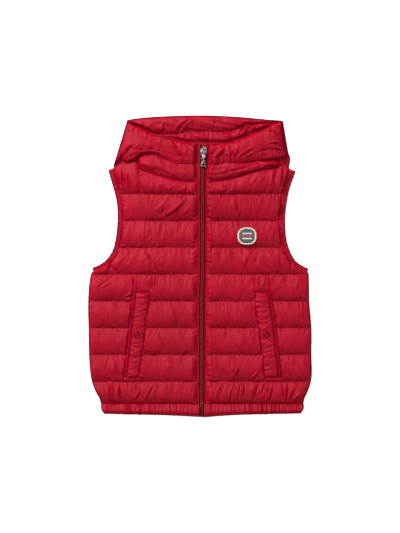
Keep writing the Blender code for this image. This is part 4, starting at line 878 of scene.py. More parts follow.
hood = {
    "lower": {"crown": 10.5, "roll": 0.0, "endRound": {-1: 8.0, 1: 18.0}, "seed": 23},
    "rim": {"crown": 13.5, "roll": 0.55, "endRound": {-1: 17.0, 1: 10.0}, "seed": 29},
    "lowerEnd": {-1: 104.0, 1: 141.0},
    "bow": {-1: 0.0, 1: 2.4},
    "rows": 16,
    "stretch": (1.085, 1.12),
    "fullest": 1.25,
    "folds": [
        # rim, wearer's right
        (-114, 214, -80, 201.5, 1.6, -2.0, -1.5), (-132, 214, -90, 207.5, 3.6, 1.6, -2.0),
        (-134, 188, -110, 213, 1.7, -2.4, -4.0), (-128, 193, -108, 202, 3.0, 1.2, -1.0),
        (-134, 198, -122, 213, 3.6, 1.6, -2.0), (-118, 210, -110, 208, 1.6, 1.6, 0.0),
        (-112, 197, -62, 195.5, 2.4, 2.0, -4.5), (-52, 221, -28.5, 187.5, 1.4, 2.4, 0.8),
        (-46, 218, -24, 190, 2.0, -1.2, 0.8), (-56, 219, -33, 188, 2.6, -0.8, 0.8),
        (-104, 226, -62, 205, 5.0, -1.2, 0.0), (-126, 240, -112, 226, 3.0, -1.2, 0.0),
        (-118, 238, -84, 224, 4.0, 1.0, 0.0), (-24, 212, -12, 192, 3.0, -1.2, 0.0),
        # lower channel, wearer's right
        (-102, 178, -70, 172, 6.0, 2.2, -2.0), (-101, 178, -83, 166, 1.6, -2.0, 2.0),
        (-44, 174, -12, 181.5, 1.8, 2.0, -2.0), (-40, 171, -12, 176.5, 2.5, -1.4, -2.0),
        (-80, 172, -52, 160, 4.0, -1.4, 0.0), (-62, 170, -40, 158, 4.0, 1.4, 0.0),
        # rim, wearer's left
        (20.5, 186, 47, 212, 2.0, 2.6, 0.7), (27, 186, 46, 204, 1.9, -2.2, 1.0),
        (15, 190, 36, 212, 2.2, -1.6, 0.7), (56, 186.5, 64.5, 204, 1.8, 2.4, 0.0),
        (51.5, 188, 60, 203, 1.7, -2.0, 0.0), (61, 187, 92, 208.5, 1.9, 2.2, -1.0),
        (66, 187, 97, 205, 2.0, -2.0, -1.0), (63, 186.5, 94, 197, 2.2, 1.4, -1.0),
        (98, 198, 118, 205, 2.6, -1.4, 0.0), (108, 201, 150, 199, 4.6, -2.6, -4.0),
        (116, 211, 147.5, 203, 1.6, -2.6, -7.0), (116, 214.5, 149, 206, 2.2, 2.0, -7.0),
        (122, 205, 145, 203, 1.4, 1.4, -3.0), (114, 236.5, 147, 220, 1.6, -2.2, -4.5),
        (118, 239.5, 149, 224, 2.0, 1.8, -4.5), (128, 245.5, 146, 236, 1.5, -1.8, -2.0),
        (126, 225, 148, 212.5, 1.5, -1.5, -2.5), (66, 214, 108, 228, 6.0, 1.4, -2.0),
        (38, 196, 52, 188, 2.4, -1.4, 0.0),
        # lower channel, wearer's left
        (42, 169, 84, 180, 2.0, 2.0, 1.5), (48, 165.5, 96, 178, 2.0, -2.0, 2.0),
        (72, 165, 116, 175, 2.4, 1.6, 2.0), (86, 178, 108, 184, 1.8, -1.8, 1.0),
        (108, 178, 136, 179.5, 3.4, 1.8, -1.0), (132, 181, 138, 170, 1.8, 2.2, 0.0),
        (16, 176, 50, 178.5, 3.0, 1.4, 0.0), (20, 160, 58, 165, 3.0, -1.4, 1.0),
        (18, 168, 44, 171, 2.4, -1.2, 0.0),
    ],
    "gaps": [  # deep dark places under the rim
        (-141, 179.5, -135.5, 195, 2.8, -10.0, 0.0), (-134, 184, -114, 185.5, 1.2, -3.0, 0.0),
        (-115, 185.0, -103, 192.5, 2.2, -8.0, -1.0), (108, 184.8, 128, 187.0, 1.8, -7.0, 0.0),
        (120, 186.6, 146, 188.4, 2.8, -12.0, 0.0), (140, 187.5, 153.5, 203, 1.9, -8.0, 2.0),
    ],
}


def hoodLines(side):  # neck seam, the rim's lower edge and the mouth, with as many points each
    neckX = frontColumns(outerX(quilt["shoulder"], side), side)[:-2]
    lines = [np.stack([neckX, curveY("neck", neckX) + lie["seamGap"] / 2], axis=1)]
    inner = zipEdge(side)
    for name in ("rim", "mouth"):
        end = outline[name][-1 if side > 0 else 0][0]
        x = inner + (neckX - inner) * (end - inner) / (neckX[-1] - inner)
        x[:5] = neckX[:5]
        lines.append(np.stack([x, curveY(name, x)], axis=1))
    return lines


def layHood(part, word, side, low, high):
    size = hood[part]
    t = np.linspace(0, 1, hood["rows"] + 1)
    t = t - 0.06 * np.sin(2 * math.pi * t)  # closer rows beside the seams
    plan = np.array([low + (high - low) * k for k in t])
    outward = smooth((np.abs(plan[..., 0]) - 105) / 40)
    plan[..., 0] -= side * hood["bow"][side] * np.sin(math.pi * t)[:, None] * outward
    x, y = plan[..., 0], plan[..., 1]
    share = np.repeat(t[:, None], len(low), axis=1)
    floor = frontFloor(x, y)
    fromZip, fromEdge = fromEdges(x, side)
    crown = size["crown"] * down(share) * (1 + 0.07 * np.sin(x / 29 + 1) + 0.05 * np.sin(x / 15 + 3))
    crown = np.maximum(crown, size["crown"] * size["roll"] * rounded(1 - share, 0.25) * smooth(share / 0.5))
    crown *= smooth((fromZip - zipSizes["strip"][side] + 1) / 6) * rounded(fromEdge, size["endRound"][side])
    start = floor + wallHeight(fromZip, fromEdge, side) + 0.8 * crown
    start += 0.6 * shakeDown(size["seed"] + side, x.shape) * smooth(crown / 2)
    start += folds(x, y, hood["folds"]) * 0.4 * np.sqrt(down(share)) * smooth((fromZip - 4) / 12)
    pinned = (share < 0.001) | (share > 0.999)
    pinned |= (fromZip < zipSizes["strip"][side] + 0.1) | (fromEdge < 0.1)
    layCloth("hood" + part.capitalize() + word, plan, start, pinned, hood["stretch"])
    return {"floor": floor, "share": share}


def sewHood(part, word, side, points, made):
    strip = zipSizes["strip"][side]
    cap = 2.2 + hood[part]["crown"] * hood["fullest"]
    points[..., 2] = np.clip(points[..., 2], made["floor"] + 1.0, made["floor"] + cap)
    startGently(points, made["floor"] + front["seamWall"], side)
    top = finer(finer(points))
    share = np.clip(finer(finer(made["share"][..., None]))[..., 0], 0, 1)
    x, y = top[..., 0], top[..., 1]
    fromZip, fromEdge = fromEdges(x, side)
    tall = np.abs(y[-1] - y[0]) + 1
    fromLow, fromTop = share * tall, (1 - share) * tall
    if part == "rim":  # it turns over sharply at the opening, and over the channel below it
        turned = rounded(fromTop, 3.2) * np.exp(-fromTop / 9) * smooth((fromZip - strip + 1) / 5)
        steep = bump(x - 130, 17) + 0.8 * bump(x + 120, 15)
        roll = rounded(fromLow, 2.4) * np.exp(-fromLow / 8) * smooth((np.abs(x) - 45) / 30)
        rise = 3.2 * turned + (2.4 + 4.8 * steep) * roll
        fromSeam = fromLow
    else:
        rise = 2.6 * bump(x - 128, 15) * rounded(fromTop, 2.4) * np.exp(-fromTop / 6)
        fromSeam = fromTop
    top[..., 2] += rise * smooth(fromEdge / 4)
    clear = smooth(np.minimum(share, 1 - share) * tall / 6) * smooth((fromZip - strip) / 6)
    top[..., 2] += folds(x, y, hood["folds"]) * clear + folds(x, y, hood["gaps"])
    near = smooth((fromZip - 5) / 6) * smooth((78 - fromZip) / 38)  # the seam is shallow beside the zip
    level = np.argmin(np.abs(fromSeam - 11), axis=0)
    level = top[level, np.arange(len(level)), 2] - 2.4 * bump(fromSeam, 4)
    top[..., 2] += near * np.clip(level - top[..., 2], 0, None) * smooth((15 - fromSeam) / 5)
    for edge, seed in ((share, 71), (1 - share, 83)):
        window = np.exp(-edge / 0.16) * smooth(edge / 0.05) * smooth(fromEdge / 6)
        top[..., 2] += 0.6 * ripple(x + 6 * edge, seed + side, 5.5, 14) * window * smooth((fromZip - 6) / 3)
    top[..., 2] += 0.55 * ripple(y + 0.25 * fromZip, 47 + side, 4.5, 11) * besideZip(fromZip, side)
    obj = setDown("hood" + part.capitalize() + word, top)
    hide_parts("hood_" + part + "_" + word.lower())
    return obj


hoodBack = {
    "hidden": (94, 98, 103, 108, 114, 120, 127, 134, 141, 148, 156, 164, 170.8),
    "shown": (174.6, 178, 182, 186, 190, 194, 198),
    "lower": 5.4,  # puff below the fold and above it
    "upper": 7.5,
    # two layers at the edge, with a groove between them
    "layers": ((0.5, 0.88), (0.5, 0.68), (-1.6, 0.5), (0.6, 0.32), (0.6, 0.12)),
    "folds": [
        (-15.6, 257.9, -39.4, 230, 1.6, -2.0, 3.0), (-10, 257, -34, 231, 1.9, 2.2, 3.0),
        (-24, 256, -46, 234, 2.4, 1.8, 2.0), (-13, 252, -8, 240, 1.8, -1.8, 0.0),
        (-21.8, 257, -20, 250, 1.2, -1.8, 0.0), (-71, 236, -64.5, 243.5, 1.6, 2.6, 0.0),
        (-66, 234, -60, 241, 1.5, -2.2, 0.0), (-73, 240, -63, 253, 2.2, 1.6, 1.5),
        (-99, 246.5, -95, 238, 1.5, -2.4, 0.0), (-92.5, 246, -90, 239.5, 1.7, 2.2, 0.0),
        (-88, 252, -80, 245, 2.0, 1.5, 0.0), (-84, 240, -77, 234, 1.8, 1.6, 0.0),
        (-118, 252.5, -115.5, 246, 1.1, -2.2, 0.0), (-112.5, 252, -110, 245, 1.2, -2.4, 0.0),
        (-121.5, 253, -120, 249, 0.9, -1.8, 0.0), (-104, 254, -97, 248, 1.8, 1.5, 0.0),
        (86.5, 251, 76, 229, 1.9, 3.2, 1.5), (80, 252, 70, 228, 1.7, -3.4, 1.5),
        (93, 250, 84, 232, 1.9, -2.2, 1.0), (99, 254, 91, 238, 2.2, 1.7, 0.0),
        (42.6, 236, 69, 237.5, 1.9, -2.8, 1.5), (46, 232, 57, 219, 1.5, 2.4, 0.0),
        (52, 233, 63, 220, 1.5, -2.2, 0.0), (66, 244, 80, 243, 1.6, -2.0, 0.0),
        (60, 250, 70, 240, 2.4, 1.6, 0.0), (108, 247, 124, 254, 1.8, -1.6, 0.0),
        (16, 216, 16, 232, 1.8, -2.0, 0.0), (-30, 220, -20, 232, 1.8, -1.6, 0.0),
        (-50, 221, -44, 233, 1.6, -1.8, 0.0), (-45, 221, -39, 232, 1.7, 1.8, 0.0),
        (30, 258, 24, 240, 2.2, -1.3, 0.0), (-2, 256, 8, 240, 2.6, 1.2, 0.0),
    ],
    "hollows": [(-121.5, 253.5, -119.5, 246.5, 1.0, -2.0, 0.0), (-117, 254.5, -115, 245.5, 1.2, -2.4, 0.0),
                (-111.5, 255, -108.5, 243.5, 1.4, -2.6, 0.0), (-127, 252.5, -102, 241, 2.6, -4.0, 0.0),
                (-104, 241.5, -66, 228.5, 1.8, -2.5, 0.0)],
    "flap": {"inner": 140.0, "fall": 13.0, "low": 172.0, "high": 203.0, "drop": 3.6, "edge": 1.8},
}


def hoodBackGrid():
    across = np.concatenate([[0, 0.012, 0.03, 0.05], np.linspace(0.07, 0.93, 81), [0.95, 0.97, 0.988, 1]])
    square = lie["hoodSquare"]
    plan = []
    for y in (*hoodBack["hidden"], *hoodBack["shown"]):
        if y > lie["hoodRoot"]:
            right, left = (sideX("hoodSide", side, y) for side in (-1, 1))
        else:
            below = (lie["hoodRoot"] - y) / lie["hoodDeep"]
            half = lie["hoodHalf"] * (1 - below ** square) ** (1 / square)
            right, left = lie["hoodMid"] - half, lie["hoodMid"] + half
        x = right + (left - right) * across
        plan.append(np.stack([x, np.full_like(x, float(y))], axis=1))
    low = plan[-1]
    right, left = outline["hoodTop"][0][0], outline["hoodTop"][-1][0]
    topX = right + (left - right) * across
    top = np.stack([topX, curveY("hoodTop", topX)], axis=1)
    mouthY = np.minimum(curveY("mouth", topX) + 0.6, top[:, 1] - 9)
    foldY = np.maximum(curveY("hoodFold", topX), mouthY + 0.25 * (top[:, 1] - mouthY))
    mouth, fold = (low + (top - low) * ((line - low[:, 1]) / (top[:, 1] - low[:, 1]))[:, None]
                   for line in (mouthY, foldY))
    plan += [low + (mouth - low) * t for t in (0.25, 0.5, 0.75, 1.0)]
    plan += [mouth + (fold - mouth) * t for t in np.linspace(0, 1, 9)[1:-1]]
    plan += [fold + (top - fold) * t for t in (*np.linspace(0, 0.86, 11), 0.92, 0.97, 1.0)]
    return np.array(plan)


def hoodBackHeights(x, y):  # top and underside
    mouthY, foldY, topY = (curveY(k, x) for k in ("mouth", "hoodFold", "hoodTop"))
    under = lift(x, y) - lie["layerGap"]
    shown = smooth((y - lie["hoodRoot"] + 2) / 3.4)
    lower = hoodBack["lower"] * down((y - mouthY) / np.maximum(foldY - mouthY, 1))
    lower -= 1.6 * bump(y - mouthY - 2, 3)
    upper = hoodBack["upper"] * down(np.clip((y - foldY) / np.maximum(topY - foldY, 1), 0, 0.5))
    crease = 1.3 * folds(x, y, hoodBack["folds"])
    crease += 0.6 * ripple(x + 0.4 * (y - foldY), 91, 6, 22) * np.exp(-np.abs(y - foldY) / 8)
    crease += 0.45 * ripple(x * 0.8 + y * 0.6, 93, 9, 30) + 0.35 * ripple(y + 0.2 * x, 95, 7, 20)
    puff = np.where(y < foldY, lower, upper) + crease * smooth(np.abs(y - foldY) / 2.5)
    puff = np.clip(puff, -2.0, None) * smooth((y - mouthY - 1) / 7) * rounded(topY - y + 0.6, 13)
    top = under + (lie["backThick"] + lie["layerGap"]) * shown + puff
    fromEdge = np.minimum(np.minimum(x - x[:, :1], x[:, -1:] - x), np.maximum(topY - y, 0))
    top -= (top - under) * 0.35 * (1 - rounded(fromEdge, 11)) * shown
    top += folds(x, y, hoodBack["hollows"]) * shown
    flap = hoodBack["flap"]  # the part that shows beyond the rim's end slopes away
    past = x - flap["inner"]
    beside = smooth((y - flap["low"]) / 4) * smooth((flap["high"] - y) / 6) * smooth(past / 2)
    slope = 1.0 - flap["drop"] * smooth(past / flap["fall"])
    top += beside * (slope + flap["edge"] * bump(x[:, -1:] - x - 1.6, 1.3))
    floor = 1.2 * (1 - smooth(fromEdge / 6)) * smooth((y - lie["hoodRoot"] + 1) / 6)
    return np.maximum(top, floor + 1.0), floor


def layeredSheet(plan, top, floor, layers):  # a closed sheet, with a ring of vertices for each layer
    rows, columns = top.shape
    edge = [(0, j) for j in range(columns)] + [(i, columns - 1) for i in range(1, rows)]
    edge += [(rows - 1, j) for j in range(columns - 2, -1, -1)] + [(i, 0) for i in range(rows - 2, 0, -1)]
    loop = np.array([plan[i, j] for i, j in edge])
    along = np.roll(loop, -1, axis=0) - np.roll(loop, 1, axis=0)
    along /= np.linalg.norm(along, axis=1)[:, None]
    outward = np.stack([along[:, 1], -along[:, 0]], axis=1)
    vertices = [(*plan[i, j], z[i, j]) for z in (top, floor) for i in range(rows) for j in range(columns)]
    at = lambda layer, i, j: layer * rows * columns + i * columns + j
    faces = []
    for i in range(rows - 1):
        for j in range(columns - 1):
            quad = [(i, j), (i, j + 1), (i + 1, j + 1), (i + 1, j)]
            faces += [[at(0, *q) for q in quad], [at(1, *q) for q in quad[::-1]]]
    loops = [[at(0, i, j) for i, j in edge]]
    for outset, share in layers:
        first = len(vertices)
        for (i, j), (x, y) in zip(edge, loop + outward * outset):
            vertices.append((x, y, floor[i, j] + share * (top[i, j] - floor[i, j])))
        loops.append(list(range(first, first + len(edge))))
    loops.append([at(1, i, j) for i, j in edge])
    for upper, lower in zip(loops, loops[1:]):
        for n in range(len(edge)):
            m = (n + 1) % len(edge)
            faces.append([upper[n], upper[m], lower[m], lower[n]])
    return vertices, faces


def sewHoodBack():
    plan = finer(hoodBackGrid())
    top, floor = hoodBackHeights(plan[..., 0], plan[..., 1])
    vertices, faces = layeredSheet(plan, top, floor, hoodBack["layers"])
    obj = meshPiece("hoodBack", vertices, faces, lining, "lining")
    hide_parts("hood_back")


back = {"columns": 61, "rows": 8, "groove": 1.5, "shoulder": (134, 143, 152, 161, 166, 171)}


def sewBack():
    lines = seamLines()
    shares = np.arange(back["rows"]) / back["rows"]
    ys = [low + (high - low) * t for low, high in zip(lines, lines[1:]) for t in shares]
    plan = []
    for y in (*ys, quilt["top"], *back["shoulder"]):
        right, left = (outerX(min(y, quilt["shoulder"]), side) for side in (-1, 1))
        x = right + (left - right) * np.linspace(0, 1, back["columns"])
        slope = smooth((np.abs(x) - 148) / 10) * max(y - quilt["shoulder"], 0)
        plan.append(np.stack([x, y - slope], axis=1))
    plan = finer(np.array(plan))
    x, y = plan[..., 0], plan[..., 1]
    toSeam = np.abs(y[..., None] - np.array(lines[1:])).min(axis=-1)
    fromEdge = np.minimum(x - x[:, :1], x[:, -1:] - x)
    groove = back["groove"] * bump(toSeam, 3.2)
    pucker = 0.5 * (1 + ripple(x + 0.3 * y, 17, 6, 16)) * np.exp(-toSeam / 6) * smooth(toSeam / 2)
    floor = lift(x, y) + 1.6 * (1 - smooth(fromEdge / 8))
    floor = floor + np.maximum(groove + 0.6 * np.clip(pucker, 0, 2), 0)
    # the quilted side lies down, so the sheet is closed the other way up
    quilted = np.concatenate([plan, floor[..., None]], axis=2)
    obj = sheetPiece("backPanel", quilted, bed(x, y), shell, "shell")
    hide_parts("back_panel")


hem = {
    "rows": (0, 0.05, 0.12, 0.22, 0.36, 0.5, 0.64, 0.75, 0.83, 0.89, 0.93, 0.97, 1.0),
    "columns": {"front": 133, "back": 49},
    "thick": 6.2,
    "gather": 1.3,
    "sewn": 0.835,  # stitched line above the lower edge
    "bottom": -258.0,
    "right": {"pitch": 9.5, "reach": 62.0},
    "left": {"pitch": 7.0, "reach": 45.0},
}


def hemPlan(inner, side, shares):
    seamY = quilt["hem"] - lie["seamGap"] / 2
    line = outline["hemSide"][side][::-1]
    plan = []
    for t in hem["rows"]:
        outer = np.interp(seamY + (hem["bottom"] - seamY) * t, [p[1] for p in line], [p[0] for p in line])
        x = inner + (outer - inner) * shares
        plan.append(np.stack([x, seamY + (curveY("hemEdge", x) - seamY) * t], axis=1))
    return np.array(plan)


def sewHem(side, word):
    size = hem[word.lower()]
    count = hem["columns"]["front"]
    plan = finer(hemPlan(zipEdge(side), side, np.linspace(0, 1, count)))
    x, y = plan[..., 0], plan[..., 1]
    drop = np.clip(finer(np.repeat(np.array(hem["rows"])[:, None, None], count, axis=1))[..., 0], 0, 1)
    fromZip, fromEnd = fromEdges(x, side)
    lean = 3.0 * ripple(x, 23 + side, 25, 70)
    ridge = ripple(x + lean * drop, 21 + side, 0.6 * size["pitch"], 1.5 * size["pitch"])
    ridge = np.clip(ridge, -1.5, 1.3) - 0.2
    fine = 0.35 * ripple(x - 2 * drop, 29 + side, 3.5, 7)
    fade = 1 - 0.6 * smooth((drop - 0.4 - 0.15 * ripple(x, 27 + side, 12, 40)) / 0.45)
    strength = (0.28 + 0.72 * smooth((fromZip - size["reach"]) / 60)) * smooth(fromZip / 10)
    strength = strength * np.clip(0.95 + 0.35 * ripple(x, 25 + side, 18, 50), 0.3, 1.5)
    body = hem["thick"] * (0.3 + 0.7 * smooth(drop / 0.62)) * (1 - 0.35 * smooth((drop - 0.66) / 0.34))
    body += hem["gather"] * (ridge + fine) * strength * fade
    body += 0.5 * bump(drop - 0.91, 0.04) - 1.7 * bump(drop - hem["sewn"], 0.035)
    high = front["edgeWall"] + body * rounded(drop + 0.015, 0.13) * (0.25 + 0.75 * rounded(fromEnd, 5))
    high = high * (0.12 + 0.88 * rounded(1 - drop, 0.1))
    high[0] = 0.7
    floor = frontFloor(x, y)
    wave = 0.35 * ripple(x, 19 + side, 5, 14) * strength  # uneven lower edge
    plan[..., 1] += wave * smooth((drop - 0.6) / 0.4)
    plan[0, :, 1] += 0.9  # tucked under the panel above
    top = np.concatenate([plan, (floor + np.maximum(high, 0.4))[..., None]], axis=2)
    top[..., 0] = drawnIn(x, y)
    obj = sheetPiece("hemBand" + word, top, floor, shell, "shell")
    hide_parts("hem_band_front_" + word.lower())
    long = abs(zipEdge(side) - x[0, -1]) * mm
    long * 1.25
    return obj


def sewHemBack():
    shares = np.linspace(0, 1, hem["columns"]["back"])
    right, left = (hemPlan(zipSizes["x"], side, shares) for side in (-1, 1))
    plan = finer(np.concatenate([right[:, :0:-1], left], axis=1))
    x, y = plan[..., 0], plan[..., 1]
    fromEdge = np.minimum(np.minimum(x - x[:, :1], x[:, -1:] - x), y - y[-1:])
    ridge = np.abs(np.sin(math.pi * (x / 9.0 + 0.35 * ripple(x, 33, 20, 60)))) ** 0.8
    floor = 1.6 * (1 - smooth(fromEdge / 6)) + 1.2 * (1 - ridge) * smooth(fromEdge / 5)
    gathered = np.concatenate([plan, floor[..., None]], axis=2)
    obj = sheetPiece("hemBandBack", gathered, bed(x, y), shell, "shell")
    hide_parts("hem_band_back")


def sweep(stations, section):  # a closed ring of sections: centre, across and up at each station
    vertices = [c + a * u + w * v for c, a, w in stations for u, v in section]
    count, size = len(stations), len(section)
    at = lambda i, k: i % count * size + k % size
    faces = [[at(i, k), at(i + 1, k), at(i + 1, k + 1), at(i, k + 1)]
             for i in range(count) for k in range(size)]
    return vertices, faces


def squared(value, power):  # a circle's sine or cosine, pushed towards a square's
    return math.copysign(abs(value) ** power, value)


def sewBinding(side, word):  # a strip that goes up the front edge, round its end and down the back edge
    line, inward, along = (part[3:-4] for part in armholeLine(side, binding["wide"] / 2, 14))
    high = frontFloor(line[:, 0], line[:, 1]) + binding["crown"] / 2
    low = lift(line[:, 0], line[:, 1]) + binding["low"] + binding["thick"] / 2
    middle, reach = (high + low) / 2, (high - low) / 2
    last = len(line) - 1
    ends = (22, 45, 67, 90, 112, 135, 157)
    where = [(n, 0, 1) for n in range(last + 1)] + [(last, s, 1) for s in ends]
    where += [(n, 180, 1) for n in range(last, -1, -1)] + [(0, s, -1) for s in ends[::-1]]
    turns = np.linspace(0, 2 * math.pi, 16, endpoint=False)
    section = [(squared(math.cos(t), 0.6), squared(math.sin(t), 0.7)) for t in turns]
    distance = distances(line)
    pucker = ripple(distance, 51 + side, 5, 12)
    stations = []
    for n, swing, way in where:
        turn = math.radians(swing)
        centre = line[n] + along[n] * way * reach[n] * math.sin(turn)
        across = np.array([*inward[n], 0.0]) * (binding["wide"] / 2 + 0.15 * pucker[n])
        tall = binding["crown"] if swing < 90 else binding["thick"]
        up = np.array([*(along[n] * way * math.sin(turn)), math.cos(turn)]) * (tall / 2 + 0.2 * pucker[n])
        stations.append((np.array([*centre, middle[n] + reach[n] * math.cos(turn)]), across, up))
    obj = meshPiece("armholeBinding" + word, *sweep(stations, section), shell, "shell")
    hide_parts("armhole_binding_" + word.lower())
    return obj


def pocketFloor(x, y):  # top of the front's flat cloth under the pocket's pieces
    return frontFloor(x, y) + front["seamWall"] + lie["layerGap"]


def sewWelt(side, word):
    ys = np.linspace(welt["y"][0], welt["y"][-1], 193)
    inner, outer = weltAt(ys, side)
    # the gathered end is as wide as welt and piped edge together
    tack = smooth((welt["tackTop"] - ys) / 1.2)
    outer = outer + side * (welt["piping"] + 0.6) * tack
    tack = tack[:, None]
    shares = np.array(welt["across"])
    wobble = 0.75 * ripple(ys, 43 + side, 12, 40) + 0.4 * ripple(ys, 44 + side, 5, 12)
    x = inner[:, None] + (outer - inner)[:, None] * shares
    x -= side * wobble[:, None] * np.clip(1 - 2.5 * shares, 0, 1)
    y = np.repeat(ys[:, None], len(shares), axis=1)
    floor = pocketFloor(x, y)
    fromEnd = np.minimum(ys[0] - y, y - ys[-1])
    pucker = 0.5 * ripple(y + 4 * shares, 31 + side, 9, 26) * (1.1 - shares)
    pucker += 0.5 * ripple(y - 3 * shares, 35 + side, 4.5, 11) * np.clip(1.3 - 3 * shares, 0, 1)
    pucker += 0.45 * ripple(y + 3 * shares, 39 + side, 5.5, 13) * np.clip(3 * shares - 1.9, 0, 1)
    crown = (welt["crown"] + pucker) * np.sin(math.pi * (0.04 + 0.86 * shares)) ** 0.6
    crown = crown * rounded(fromEnd + 0.8, 7)
    crown += folds(x, y, welt["folds"][side]) * smooth(shares / 0.12) * smooth((1 - shares) / 0.1)
    runs = [(inner[8], inner[-16], ys[8], ys[-16]), (outer[8], outer[150], ys[8], ys[150])]
    crown += creases(x, y, runs, 47 + side, welt["creases"], (4, 13), (0.2, 0.65), math.pi / 2)
    snapX, snapY = snaps[side]
    crown += (welt["crown"] * snaps["seat"] - crown) * smooth((10.5 - np.hypot(x - snapX, y - snapY)) / 4)
    # the gathered end: a sewn line across, then small bumps
    bumps = 0.9 + 0.8 * ripple(x + 0.5 * y, 57 + side, 5, 9) + 0.4 * ripple(y + x, 59 + side, 4, 8)
    bumps = np.clip(bumps, 0.1, None) * rounded(np.minimum(shares, 1 - shares) * 24 + 0.3, 5)
    crown = crown * (1 - tack) + bumps * tack - 0.9 * bump(y - welt["tackTop"], 1.3)
    edges = 0.4 + 0.6 * rounded(np.minimum(shares * 30 + 1.2, (1 - shares) * 23), 4) * (1 - 0.45 * tack)
    high = (welt["wall"] * edges + crown) * (0.08 + 0.92 * rounded(fromEnd + 0.05, 5))
    top = np.stack([x, y, floor + np.maximum(high, 0.3)], axis=2)
    obj = sheetPiece("pocketWelt" + word, top, floor, shell, "shell")
    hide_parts("pocket_welt_" + word.lower())


def sewPiping(side, word):
    across = np.linspace(0, 1, 9)
    ys = np.linspace(welt["y"][0], welt["tackTop"] + 0.3, 145)
    inner = weltAt(ys, side)[1] + side * 0.3
    x = inner[:, None] + side * welt["piping"] * across + 0.12 * ripple(ys, 38 + side, 9, 30)[:, None]
    y = np.repeat(ys[:, None], len(across), axis=1)
    floor = pocketFloor(x, y)
    tall = welt["pipingTall"] * (0.3 + 0.7 * np.sin(math.pi * across) ** 0.8)
    tall = tall * rounded(np.minimum(ys[0] - y, y - ys[-1]) + 1, 5)
    tall = tall * (1 + 0.07 * ripple(y, 37 + side, 6, 15))
    obj = sheetPiece("pocketPiping" + word, np.stack([x, y, floor + tall], axis=2), floor, shell, "shell")
    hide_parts("pocket_piping_" + word.lower())


snaps = {
    -1: (-110.4, -118.3),
    1: (115.7, -118.0),
    "radius": 5.8,
    "seat": 0.85,  # share of the welt's crown under a snap
    "profile": ((0.15, 1.7), (0.3, 1.5), (0.42, 1.15), (0.5, 0.6), (0.58, 0.5), (0.63, 0.9), (0.7, 1.55),
                (0.79, 1.85), (0.88, 1.65), (0.96, 1.1), (1, 0.6), (0.98, 0.2), (0.95, 0.0)),
}


def lathe(profile, centre, count):
    vertices = [(centre[0] + r * math.cos(a), centre[1] + r * math.sin(a), z)
                for a in np.linspace(0, 2 * math.pi, count, endpoint=False) for r, z in profile]
    size = len(profile)
    faces = [[i * size + k, (i + 1) % count * size + k, (i + 1) % count * size + k + 1, i * size + k + 1]
             for i in range(count) for k in range(size - 1)]
    faces += [[i * size for i in range(count)], [i * size + size - 1 for i in range(count)]]
    return vertices, faces


def pressSnap(side, word):
    x, y = snaps[side]
    seat = float(pocketFloor(np.array(x), np.array(y))) + welt["wall"] + welt["crown"] * snaps["seat"] + 0.3
    profile = [(0.02, seat + 1.75)]
    profile += [(snaps["radius"] * share, seat + high) for share, high in snaps["profile"]]
    obj = meshPiece("pocketSnap" + word, *lathe(profile, (x, y), 48), finishes["enamel"], "snap_enamel")
    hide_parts("pocket_snap_" + word.lower())


def layTapes():
    ys = np.linspace(zipSizes["bottom"], zipSizes["top"], 237)
    for side, word in hands:
        x = zipSizes["x"] + side * np.linspace(zipSizes["tapeInner"], zipSizes["tapeOuter"], 9)
        x = np.repeat(x[None, :], len(ys), axis=0)
        y = np.repeat(ys[:, None], 9, axis=1)
        floor = bed(x, y) + zipSizes["tapeGap"]
        top = floor + zipSizes["tapeThick"] + 0.08 * ripple(y + x, 3 + side, 8, 25)
        tape = np.stack([leaning(x, y), y, top], axis=2)
        obj = sheetPiece("zipTape" + word, tape, floor, finishes["tape"], "zip_tape")
        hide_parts("zip_tape_" + word.lower())


def windCoil():  # both rows of the closed coil, each turn a flattened bead that reaches past the middle
    pitch, corners = zipSizes["coilPitch"], 6
    rings = [(-1.0, 0.32), (-0.82, 0.7), (-0.3, 0.8), (0.25, 0.72), (0.42, 0.4)]
    vertices, faces = [], []
    for n in range(int((zipSizes["top"] - 2 - zipSizes["bottom"]) / pitch)):
        for side in (-1, 1):
            y = zipSizes["bottom"] + pitch * (n + 0.5 + 0.25 * side)
            middle = float(bed(np.array(zipSizes["x"]), np.array(y))) + zipSizes["tapeGap"] + 1.2
            faces += tubeFaces(len(vertices), len(rings), corners)
            for reach, fat in rings:
                x = float(leaning(zipSizes["coilX"], y)) - side * reach * zipSizes["coilHalf"]
                for k in range(corners):
                    a = 2 * math.pi * k / corners
                    high = 0.5 * zipSizes["coilTall"] * fat * math.sin(a)
                    vertices.append((x, y + 0.48 * fat * pitch * math.cos(a), middle + high))
    obj = meshPiece("zipCoil", vertices, faces, finishes["coil"], "zip_coil")
    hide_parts("zip_chain")


def finishMetal():  # slider and pull tab keep their own shape, with softened edges
    for name in ("zip_slider", "zip_pull"):
        obj = nodes[name]
        soft = obj.modifiers.new("soft edges", "BEVEL")
        soft.width, soft.segments = 0.22 * mm, 2
        soft.limit_method, soft.angle_limit = "ANGLE", math.radians(30)
        obj.data.materials.clear()
        obj.data.materials.append(finishes["nickel"])


patch = {
    "x": 82.3,
    "y": 53.0,
    "halfX": 16.5,
    "halfY": 15.0,
    "thick": 1.6,
    "count": 72,  # vertices round it
    "edge": ((1.0, 0.1), (1.0, 0.55), (0.97, 0.9), (0.92, 1.02), (0.87, 0.95), (0.84, 0.7), (0.84, 0.3),
             (0.98, 0.05)),
    "field": ((0.86, 0.15), (0.86, 0.62), (0.6, 0.68), (0.3, 0.7)),
    "bars": (("Upper", 9.0, 4.4, "patchPale"), ("Middle", 11.0, 0.0, "patchRed"),
             ("Lower", 9.0, -4.4, "patchPale")),
    "barWide": 2.2,
}


